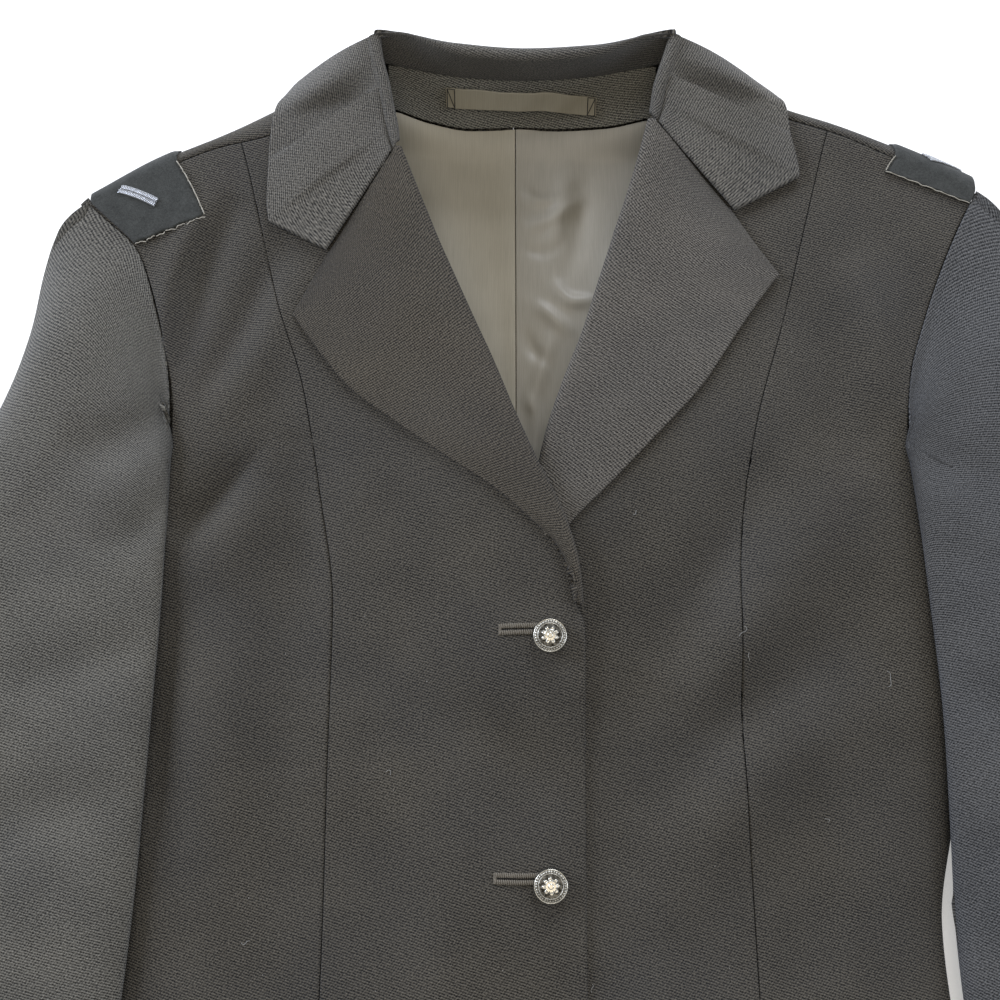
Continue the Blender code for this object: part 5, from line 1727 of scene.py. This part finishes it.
@dataclass
class NeckInside:
    """What shows in the neck: the facing, the hanger loop and the satin lining."""

    facing_wall: float = 1.1
    # Where the facing's cloth starts, above its seam with the stand
    facing_top: float = -0.12
    loop_wall: float = 0.9
    lining_wall: float = 0.8
    under_collar: float = 4.0
    seam_shift: float = 1.0
    loop_half: float = 0.202
    loop_bow: float = 2.4

    def facing_place(self, x: Array, share: Array) -> Array:
        """A place on the neck facing, from its top edge (0) to its foot (1).

        Args:
            x: places across.
            share: how far down the facing.
        Returns:
            The places.
        """
        top, foot, high, low = curves(NECK_FACING, "top_down foot_down top_height foot_height", x)
        sag = 1.5 * np.sin(np.pi * np.clip(share, 0, 1))
        return points(x, -blend(top, foot, share), blend(high, low, share) - sag)

    def facing(self, wool: Finish) -> Piece:
        """The neck facing, which slopes from the collar's stand to the lining.

        Args:
            wool: the cloth.
        Returns:
            The object.
        """
        ends = NECK_FACING["x"][[0, -1]] + np.array([-self.under_collar, self.under_collar])
        x = blend(*ends, shares(70, 122.0)[None, :])
        grid = self.facing_place(x, blend(self.facing_top, 1.0, shares(16, 25.0, (0.2, 0.5, 0.9))[:, None]))
        return ClothPiece("back_neck_facing", ("neck_facing",), grid, self.facing_wall, wool, "wool",
                          ("half_back_left", "half_back_right"), None, 0.5).build()

    def loop_grid(self) -> Array:
        """The loop's face: it follows the facing and bows off it between its ends.

        Returns:
            The grid.
        """
        first, last = LOOP_LINE["x"][[0, -1]]
        x = blend(first, last, shares(70, 73.0)[None, :])
        across = (2 * shares(12, 9.0, (0.15, 0.35)) - 1)[:, None]
        share = curve(LOOP_LINE, "share", x) + across * self.loop_half
        grid = self.facing_place(x, share)
        ease = (x - first) / (last - first)
        off = LAY_GAP + 1.0 + self.loop_bow * np.sin(np.pi * ease) ** 1.5
        ripple = 0.25 * np.sin(ease * 26.0 + across * 1.4) * np.sin(np.pi * ease)
        return grid + normals(grid) * (off + ripple)[..., None]

    def loop(self, tape: Finish, thread: Finish) -> list[Piece]:
        """The hanger loop and the box of stitches that holds each of its ends.

        Args:
            tape: the loop's satin.
            thread: the stitches' thread.
        Returns:
            The objects.
        """
        grid = self.loop_grid()
        made = [ClothPiece("hanger_tape", ("hanger_loop",), grid, self.loop_wall, tape, "tape",
                           ("back_neck_facing",), None, 0.25, "tb").build()]
        normal = normals(grid)
        stitches = []
        for first, step in ((2, 1), (-3, -1)):
            rows, columns = (1, grid.shape[0] - 2), (first, first + 4 * step)
            corners = [(rows[0], columns[0]), (rows[0], columns[1]), (rows[1], columns[1]), (rows[1], columns[0]),
                       (rows[0], columns[0]), (rows[1], columns[1])]
            spots = np.array([grid[c] + normal[c] * 0.12 for c in corners])
            path = self.between(spots, 16)
            dashes = np.sin(np.arange(len(path)) * 2 * np.pi / 8)
            path = path + normal[rows[0], columns[0]] * (0.16 * dashes)[:, None]
            stitches.append(tube(path, 0.2, 6))
        made.append(trim("hanger_stitches", stitches, thread))
        return made

    @staticmethod
    def between(spots: Array, count: int) -> Array:
        """Straight runs from spot to spot, with a number of points on each."""
        runs = [blend(a, b, np.linspace(0, 1, count, endpoint=False)[:, None]) for a, b in zip(spots, spots[1:])]
        return np.concatenate(runs + [spots[-1:]])

    def lining(self, satin: dict[Side, Finish]) -> list[Piece]:
        """The two halves of the back lining, with the wrinkles that each has.

        The height is the back's inside plus a bell for each wrinkle's line.

        Args:
            satin: the satin of each side.
        Returns:
            The objects.
        """
        made = []
        for side in Side:
            middle = CENTRE_BACK + self.seam_shift + side * SEAM_GAP / 2
            share = shares(56, 95.0)[None, :]
            fall = shares(190, 310.0)[:, None] ** 1.15
            x = blend(middle, side * LINING_OUT, share)
            foot, foot_height = curves(NECK_FACING, "foot_down foot_height", x)
            top = np.minimum(curve(LINING_TOP, "down", np.abs(x)), foot + 0.3)
            down = blend(top, LINING_DOWN, fall)
            height = FORM.back_inside(x, down) + CLOTH * 1.3 + SEAM_GAP + LINING
            hung = (1 - smooth((down - foot) / 17)) * (1 - smooth((np.abs(x) - 62) / 14))
            height = np.maximum(height, blend(height, foot_height - self.facing_wall - 0.4, hung))
            away = np.abs(x - middle)
            for i, depth in enumerate(WRINKLES[side]["depth"]):
                rows = WRINKLES[side]
                line_x = [rows[f"{end}_x"][i] for end in ("start", "mid", "end")]
                line_down = [rows[f"{end}_down"][i] for end in ("start", "mid", "end")]
                near, along = line_distance(x, down, line_x, line_down, 30)
                rise = SATIN_GAIN * depth * bell(near, along, rows["half_width"][i], 0.03)
                height = height + rise * smooth(away / 5.0)
            grid = facing_up(points(x, -down, height), side)
            uv = facing_up(np.stack([x + 0 * down, down], -1), side)
            name = f"lining_{side.word}"
            made.append(ClothPiece(f"satin_{name}", (name,), grid, self.lining_wall, satin[side], "satin",
                                   (f"half_back_{side.word}",), uv, 0.35).build())
        return made


@dataclass
class ShoulderPatches:
    """Felt patches over the shoulders, each with a bar of two-row silver braid."""

    far_side: float = 2.5
    drop: float = 0.62
    wall: float = 1.2
    crossings: int = 15
    strand: float = 0.46
    # How often the felt is averaged with its neighbours, over the shoulder's step
    easings: int = 6

    def place(self, side: Side, along: Array, across: Array, lift: float = 0.0) -> Array:
        """A place above the shoulder, on the front (across up to 1) or the back.

        Args:
            side: the wearer's side.
            along: 0 at the patch's outer edge, 1 at its neck side.
            across: 0 at its front edge, 1 at the shoulder seam, more behind it.
            lift: height off the cloth in millimetres.
        Returns:
            The places.
        """
        along, across = np.broadcast_arrays(np.asarray(along, float), np.asarray(across, float))

        def ground(along: Array, across: Array) -> Array:
            """The shoulder's own surface.

            Args:
                along, across: as in the method itself.
            Returns:
                The places.
            """
            rows = {"along": np.array([0.0, 1.0]), **PATCH[side]}
            before_seam = np.clip(across, -0.1, 1)
            out = blend(curve(rows, "front_out", along), curve(rows, "seam_out", along), before_seam)
            out = out + PATCH_BULGE[side] * np.sin(np.pi * before_seam) * (1 - along)
            out = out + PATCH_TIP[side] * before_seam * (1 - along)
            seam = curve(BACK_TOP[side], "seam", out)
            down = blend(curve(rows, "front_down", along), seam, before_seam)
            front = points(side * out, -down, FORM.front_height(side * out, down))
            turned = 2 - self.drop * np.clip(across - 1, 0, None)
            back_down, back_height = FORM.back_rise(side, out, turned)
            back = points(side * out, -back_down, back_height)
            return np.where((across <= 1)[..., None], front, back)

        step = 0.06
        spot = ground(along, across)
        one = ground(along + step, across) - ground(along - step, across)
        two = ground(along, across + step) - ground(along, across - step)
        normal = unit(np.cross(one, two))
        normal = normal * np.where(side is RIGHT, -1.0, 1.0)
        forward = np.where(np.sum(normal * np.array([0, 0.35, 1.0]), -1, keepdims=True) < 0, -1.0, 1.0)
        return spot + normal * forward * lift

    def build(self, felt: Finish, thread: Finish,
              braid: Finish) -> list[Piece]:
        """Makes each patch, the pale thread along its raw edge, and its braid.

        Args:
            felt: the patches' felt.
            thread: the pale thread.
            braid: the silver braid.
        Returns:
            The objects.
        """
        made = []
        for side in Side:
            along = shares(30, 40.0, (0.25, 0.6))[None, :]
            across = self.far_side * shares(60, 60.0, (0.25, 0.6))[:, None]
            ragged = 0.008 * np.sin(along * 21.0) * (1 - smooth(across / 0.2))
            wavy = 0.008 * np.sin(across * 13.0) * smooth((along - 0.8) / 0.2)
            grid = self.place(side, along + wavy, across + ragged)
            lift = (LAY_GAP + FELT) * (1 - 0.5 * smooth((along - 0.92) / 0.08))[..., None]
            grid, lift = (grid[:, ::-1], lift[:, ::-1]) if side is RIGHT else (grid, lift)
            grid = grid + normals(grid) * lift
            for _ in range(self.easings):
                grid[1:-1] = (grid[:-2] + 2 * grid[1:-1] + grid[2:]) / 4
            for edge, inner in ((slice(0, 3), slice(4, 5)), (slice(-3, None), slice(-5, -4))):
                grid[:, edge, 2] = np.minimum(grid[:, edge, 2], grid[:, inner, 2] + 0.3)
            name = f"shoulder_patch_{side.word}"
            made.append(ClothPiece(f"felt_{name}", (name,), grid, self.wall, felt, "felt",
                                   (f"side_panel_{side.word}", f"half_back_{side.word}"), None, 0.5).build())
            made.append(trim(f"raw_edge_{side.word}", self.raw_edge(side), thread))
            made.append(self.bar(side, braid))
        return made

    def raw_edge(self, side: Side) -> list[tuple[Array, Array]]:
        """The pale thread that wanders along the patch's neck side and front.

        Args:
            side: the wearer's side.
        Returns:
            The thread's runs as places and quads.
        """
        t = np.linspace(0, 1, 120)
        wander = 0.010 * np.sin(t * 31.0) + 0.006 * np.sin(t * 73.0 + 1.0)
        high = LAY_GAP + FELT * (0.80 + 0.20 * np.sin(t * 42.0))
        neck = self.place(side, 1.0 + 0.010 + wander, 1.02 * t, 0.0)
        neck = neck + np.array([0, 0, 1.0]) * high[:, None]
        front = self.place(side, t, -0.020 + wander, 0.0) + np.array([0, 0, 1.0]) * high[:, None]
        parts = [tube(neck, 0.27, 6)]
        dash = np.array_split(front, 7) if side is RIGHT else [front]
        parts += [tube(run, 0.25, 6) for run in dash if len(run) > 3]
        return parts

    def bar(self, side: Side, braid: Finish) -> Piece:
        """The braid: in each of two rows, three strands that cross as sine waves.

        Args:
            side: the wearer's side.
            braid: the silver braid.
        Returns:
            The object.
        """
        ends = {"step": np.array([0.0, 1.0]), **RANK_BAR[side]}
        t = np.linspace(0, 1, self.crossings * 12)
        parts = []
        for row in (-0.5, 0.5):
            for start in (0.0, 2 * np.pi / 3, 4 * np.pi / 3):
                turn = t * self.crossings * np.pi + start
                offset = row * 1.04 + 0.34 * np.sin(turn)
                along, across, half_along, half_across = curves(ends, "along across half_along half_across", t)
                along, across = along + offset * half_along, across + offset * half_across
                path = self.place(side, along, across, LAY_GAP + FELT + 0.35)
                path = path + np.array([0, 0, 1.0]) * (0.30 * np.sin(2 * turn))[:, None]
                parts.append(tube(path, self.strand, 8))
        made = trim(f"rank_braid_{side.word}", parts, braid)
        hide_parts(f"rank_bar_{side.word}")
        return made


@dataclass
class Buttons:
    """Domed, silver-plated shank buttons with a beaded rim and a plain rosette."""

    radius: float = 7.7
    standoff: float = 0.4
    sides: int = 144
    beads: int = 34
    petals: int = 8
    downs: tuple[float, ...] = (271.5, 378.8, 486.0)

    def face(self, radius: Array, angle: Array) -> tuple[Array, Array]:
        """Height of the button's face, and the share of it that stands up.

        A dome 3.4 + 1.7 (1 - r^2), a raised ring at the rim and another inside
        it, beads between them as a product of sines, and a rosette whose
        petals are |cos| of the angle.

        Args:
            radius: distance from the middle as a share of the radius.
            angle: the turn about the middle.
        Returns:
            Height in millimetres, and relief from 0 to 1.
        """
        dome = 3.4 + 1.7 * np.sqrt(np.clip(1 - radius**2, 0, 1))
        rim = 0.38 * np.exp(-(((radius - 0.93) / 0.035) ** 2))
        ring = 0.26 * np.exp(-(((radius - 0.70) / 0.022) ** 2))
        bead = 0.30 * np.exp(-(((radius - 0.815) / 0.05) ** 2)) * (0.5 + 0.5 * np.cos(self.beads * angle))
        petal = np.abs(np.cos(self.petals / 2 * angle)) ** 0.8
        rosette = 0.42 * smooth((0.54 * (0.55 + 0.45 * petal) - radius) / 0.07)
        heart = 0.30 * smooth((0.17 - radius) / 0.05)
        groove = 0.22 * np.exp(-(((radius - 0.36) / 0.03) ** 2)) * (0.5 + 0.5 * np.cos(self.petals * angle))
        rise = rim + ring + bead + rosette + heart - groove
        return dome + rise, np.clip(0.06 + rise / 0.42, 0, 1)

    def build(self, metal: Finish) -> list[Piece]:
        """Makes the buttons: a profile from the shank to the middle, turned round.

        Args:
            metal: the plating.
        Returns:
            The objects.
        """
        made = []
        angle = np.linspace(0, 2 * np.pi, self.sides, endpoint=False)[None, :]
        side_radius = np.array([0.30, 0.33, 0.34, 0.55, 0.80, 0.93, 0.985, 1.0, 0.995, 0.975])
        side_height = np.array([0.0, 0.2, 1.5, 1.75, 1.9, 2.15, 2.4, 2.8, 3.1, 3.35])
        for number, down in enumerate(self.downs, start=1):
            foot = float(FORM.side_height(np.array(BUTTON_LINE), np.array(down), RIGHT)) + self.standoff
            turned = angle + 0.35 * number
            face_radius = np.linspace(0.965, 0.004, 60)[:, None]
            face_height, relief = self.face(face_radius, turned)
            radius = np.concatenate([side_radius[:, None] + 0 * angle, face_radius + 0 * angle])
            height = np.concatenate([side_height[:, None] + 0 * angle, face_height])
            shade = np.concatenate([np.full((len(side_radius), self.sides), 0.45), relief])
            tilt = 0.018 * (number - 2)
            x = BUTTON_LINE + radius * self.radius * np.cos(angle)
            y = -down + radius * self.radius * np.sin(angle)
            places = points(x, y, foot + height + tilt * (x - BUTTON_LINE))
            index = np.arange(places.shape[0] * self.sides).reshape(-1, self.sides)
            after = np.roll(index, -1, axis=1)
            faces = np.stack([index[:-1], after[:-1], after[1:], index[1:]], -1).reshape(-1, 4)
            ends = []
            for ring, flip in ((index[0], True), (index[-1], False)):
                for k in range(1, self.sides - 2, 2):
                    quad = [ring[0], ring[k], ring[k + 1], ring[k + 2]]
                    ends.append(quad[::-1] if flip else quad)
            piece = new_piece(f"dome_button_{number}", places.reshape(-1, 3), np.concatenate([faces, np.array(ends)]),
                              metal, relief=shade.ravel(), sharp=75.0)
            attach(piece, ROOT)
            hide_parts(f"button_{number}")
            logging.info("%s: %d faces", piece.name, len(piece.data.polygons))
            made.append(piece)
        return made


@dataclass
class Buttonholes:
    """Worked buttonholes on the right front: purled edges, a slit and a bar."""

    downs: tuple[float, ...] = (268.4, 375.5, 483.0)
    outer_ends: tuple[float, ...] = (-9.4, -11.6, -10.5)
    inner_end: float = 13.0
    half: float = 1.45
    purl: float = 0.95
    pitch: float = 0.80

    def on_front(self, x: Array, down: Array, lift: Array | float) -> Array:
        """Places above the right front's cloth."""
        height = FORM.side_height(x, down, RIGHT) - FORM.creased(x, down)
        return points(x, -down, height + lift)

    def build(self, thread: Finish, dark: Finish) -> list[Piece]:
        """Makes the purls as wound threads along both edges, the bars and the slits.

        Args:
            thread: the purls' twist.
            dark: the shade inside the slits.
        Returns:
            The objects.
        """
        purls, slits = [], []
        for number, (down, outer) in enumerate(zip(self.downs, self.outer_ends)):
            length = self.inner_end - outer
            winds = length / self.pitch
            t = np.linspace(0, 1, int(winds * 10))
            x = outer + length * t
            bow = 0.35 * np.sin(np.pi * t) * (1 if number == 1 else -1)
            for edge in (-1, 1):
                turn = 2 * np.pi * winds * t + edge
                offset = edge * self.half + self.purl * np.cos(turn) + bow
                lift = 0.40 + 0.40 * np.sin(turn)
                purls.append(tube(self.on_front(x, down + offset, lift), 0.27, 6))
            t = np.linspace(0, 1, 90)
            turn = 2 * np.pi * 9 * t
            bar_x = outer - 0.3 + 0.55 * np.cos(turn)
            bar_down = down + blend(-self.half - 0.9, self.half + 0.9, t)
            purls.append(tube(self.on_front(bar_x, bar_down, 0.3 + 0.34 * np.sin(turn)), 0.22, 6))
            t = np.linspace(0.02, 1, 60)
            slits.append(tube(self.on_front(outer + length * t, down + 0 * t, 0.02), 0.42, 6))
        return [trim("buttonhole_purls", purls, thread), trim("buttonhole_slits", slits, dark)]


@dataclass
class Lint:
    """Stray pale fibres that lie on the cloth."""

    width: float = 0.11

    def build(self, thread: Finish) -> Piece:
        """Makes each fibre as a fine tube along a curled line on the fronts.

        Args:
            thread: the fibres' finish.
        Returns:
            The object.
        """
        parts = []
        for x, down, length, turn, curl in LINT:
            t = np.linspace(0, 1, 40)
            bend = turn + curl * (t - 0.4) + 0.7 * np.sin(t * 7.0 + x)
            line_x = x + length * np.cumsum(np.cos(bend)) / len(t)
            line_down = down + length * np.cumsum(np.sin(bend)) / len(t)
            side = RIGHT if x < BODY_CENTRE + 15 and down > 257 or x < 0 else LEFT
            height = FORM.side_height(line_x, line_down, side) - FORM.creased(line_x, line_down)
            path = points(line_x, -line_down, height + 0.25 + 0.25 * np.sin(np.pi * t))
            parts.append(tube(path, self.width, 6))
        return trim("stray_fibres", parts, thread)


@dataclass
class Studio:
    """A pale floor, soft lights and the camera, where the photograph's was."""

    floor_half: float = 4.0
    target: tuple[float, float, float] = (-0.0172, 0.0923, 0.030)
    distance: float = 0.680
    tilt: float = 12.0
    lens: float = 53.8
    sensor: float = 36.0

    def floor(self) -> Piece:
        """A flat sheet of white card under the jacket, just clear of it.

        Returns:
            The object.
        """
        card, tree, shader = new_material("white_card")
        place = add(tree, "TexCoord").outputs["Object"]
        # The card's grain, 2 mm across
        grain = add(tree, "TexNoise", None, Vector=place, Scale=0.5 / MM, Detail=2.0)
        bump = add(tree, "Bump", None, Strength=0.05, Distance=0.0002, Height=grain.outputs[0])
        feed(tree, shader, Normal=bump, Base_Color=linear("#FAFAF8"), Roughness=0.9,
             Emission_Color=linear("#FFFFFF"), Emission_Strength=0.35)
        share = np.linspace(-self.floor_half, self.floor_half, 9) / MM
        x, y = np.meshgrid(share, share)
        index = np.arange(81).reshape(9, 9)
        faces = np.stack([index[:-1, :-1], index[:-1, 1:], index[1:, 1:], index[1:, :-1]], -1).reshape(-1, 4)
        made = new_piece("floor", points(x, y, -0.8).reshape(-1, 3), faces, card)
        made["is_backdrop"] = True
        return made

    def light(self, name: str, place: tuple, aim: tuple, size: float, power: float, colour: str) -> None:
        """One square area light.

        Args:
            name: the light's name.
            place, aim: where it is and what it faces, in metres.
            size: its side in metres.
            power: its power in watts.
            colour: its sRGB hex colour.
        """
        data = bpy.data.lights.new(name, "AREA")
        data.shape, data.size, data.energy = "SQUARE", size, power
        data.color = linear(colour)[:3]
        made = bpy.data.objects.new(name, data)
        way = np.array(aim, float) - np.array(place, float)
        made.location = place
        yaw, pitch = math.atan2(way[0], -way[1]), math.acos(-way[2] / np.linalg.norm(way))
        made.rotation_euler = (pitch, 0.0, yaw + math.pi)
        bpy.context.scene.collection.objects.link(made)

    def build(self) -> None:
        """Makes the floor, the lights, the sky and the camera."""
        self.floor()
        centre = (0.0, 0.0, 0.0)
        self.light("window_left", (-1.9, 0.9, 0.95), centre, 1.1, 46.0, "#E4ECFF")
        self.light("window_top", (0.4, 2.1, 1.0), centre, 1.1, 30.0, "#EEF3FF")
        self.light("room_right", (2.0, 0.1, 0.85), centre, 1.0, 16.0, "#E4ECFF")
        self.light("ceiling", (0.0, -0.5, 2.4), centre, 1.8, 12.0, "#FFEFD6")
        world = bpy.data.worlds.new("soft_room")
        world.use_nodes = True
        sky = world.node_tree.nodes["Background"]
        sky.inputs["Color"].default_value = linear("#F4F6FA")
        sky.inputs["Strength"].default_value = 0.34
        bpy.context.scene.world = world
        bpy.context.scene.view_settings.view_transform = "Standard"
        tilt = math.radians(self.tilt)
        data = bpy.data.cameras.new("camera")
        data.lens, data.sensor_width, data.clip_start = self.lens, self.sensor, 0.01
        made = bpy.data.objects.new("camera", data)
        way = np.array([0.0, math.sin(tilt), -math.cos(tilt)])
        made.location = (np.array(self.target) - way * self.distance).tolist()
        made.rotation_euler = (tilt, 0.0, 0.0)
        bpy.context.scene.collection.objects.link(made)
        bpy.context.scene.camera = made


def corners() -> list[list[float]]:
    """The shown object's lowest and highest corner as plain lists."""
    return [[float(value) for value in corner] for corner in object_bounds()]


def main(cad_box: list[list[float]]) -> None:
    """Builds every sub-assembly in order, then the studio.

    Args:
        cad_box: the solids' box, from just after they were loaded; not used.
    """
    logging.basicConfig(level=logging.INFO, format="%(message)s")
    body = WoolBarathea(Grain.BODY).material()
    # The lapels' copies of the body's wool are paler than it, the left one most: painted light for how the light
    # falls on each lapel.
    lapel_wool_painted_light = {
        RIGHT: WoolBarathea(Grain.BIAS_RIGHT, dark="#1B1A17", light="#716A5D").material(),
        LEFT: WoolBarathea(Grain.BIAS_LEFT, dark="#22201E", light="#89847A").material(),
    }
    # The sleeves' copies of the body's wool are paler than it, the right one paler and warmer than the left: painted
    # light for how the light falls on each sleeve.
    sleeve = {
        RIGHT: WoolBarathea(Grain.SLEEVE_RIGHT, dark="#232220", light="#8C897F").material(),
        LEFT: WoolBarathea(Grain.SLEEVE_LEFT, dark="#1F2021", light="#7A7A79").material(),
    }
    # Both halves are one satin; the left half's copy is darker: painted shade for its creased, shadowed side.
    satin = {
        RIGHT: SatinLining().material(),
        LEFT: SatinLining("satin_lining_creased", "#BDB8AA", "#8D887A", 0.40).material(),
    }
    tape = SatinLining("satin_tape", "#A69F8A", "#7C7665", 0.42).material()
    Back().build(body)
    Fronts().build(body)
    Sleeves().build(sleeve, body)
    Lapels().build(lapel_wool_painted_light)
    # The collar's copy of the body's wool is paler than it: painted light.
    Collar().build(WoolBarathea(Grain.ACROSS, dark="#272624", light="#89857B").material())
    neck = NeckInside()
    # The facing's copy of the body's wool is much paler than it: painted light that lifts the facing out of the
    # neck's shadow.
    neck.facing(WoolBarathea(Grain.FACING, dark="#2B2B28", light="#A8A597").material())
    neck.loop(tape, SpunThread("hanger_thread", "#2A2926").material())
    neck.lining(satin)
    pale = SpunThread("pale_thread", "#C4BFB0").material()
    silver = SpunThread("silver_braid", "#C9CCD0", 0.34, 0.75).material()
    ShoulderPatches().build(PressedFelt().material(), pale, silver)
    Buttons().build(PlatedBrass().material())
    purl = SpunThread("buttonhole_twist", "#8A8375").material()
    slit = SpunThread("slit_shade", "#0E0E0E", 0.9).material()
    Buttonholes().build(purl, slit)
    Lint().build(SpunThread("lint", "#A9A8A2").material())
    Studio().build()


if __name__ == "__main__":
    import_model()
    main(corners())
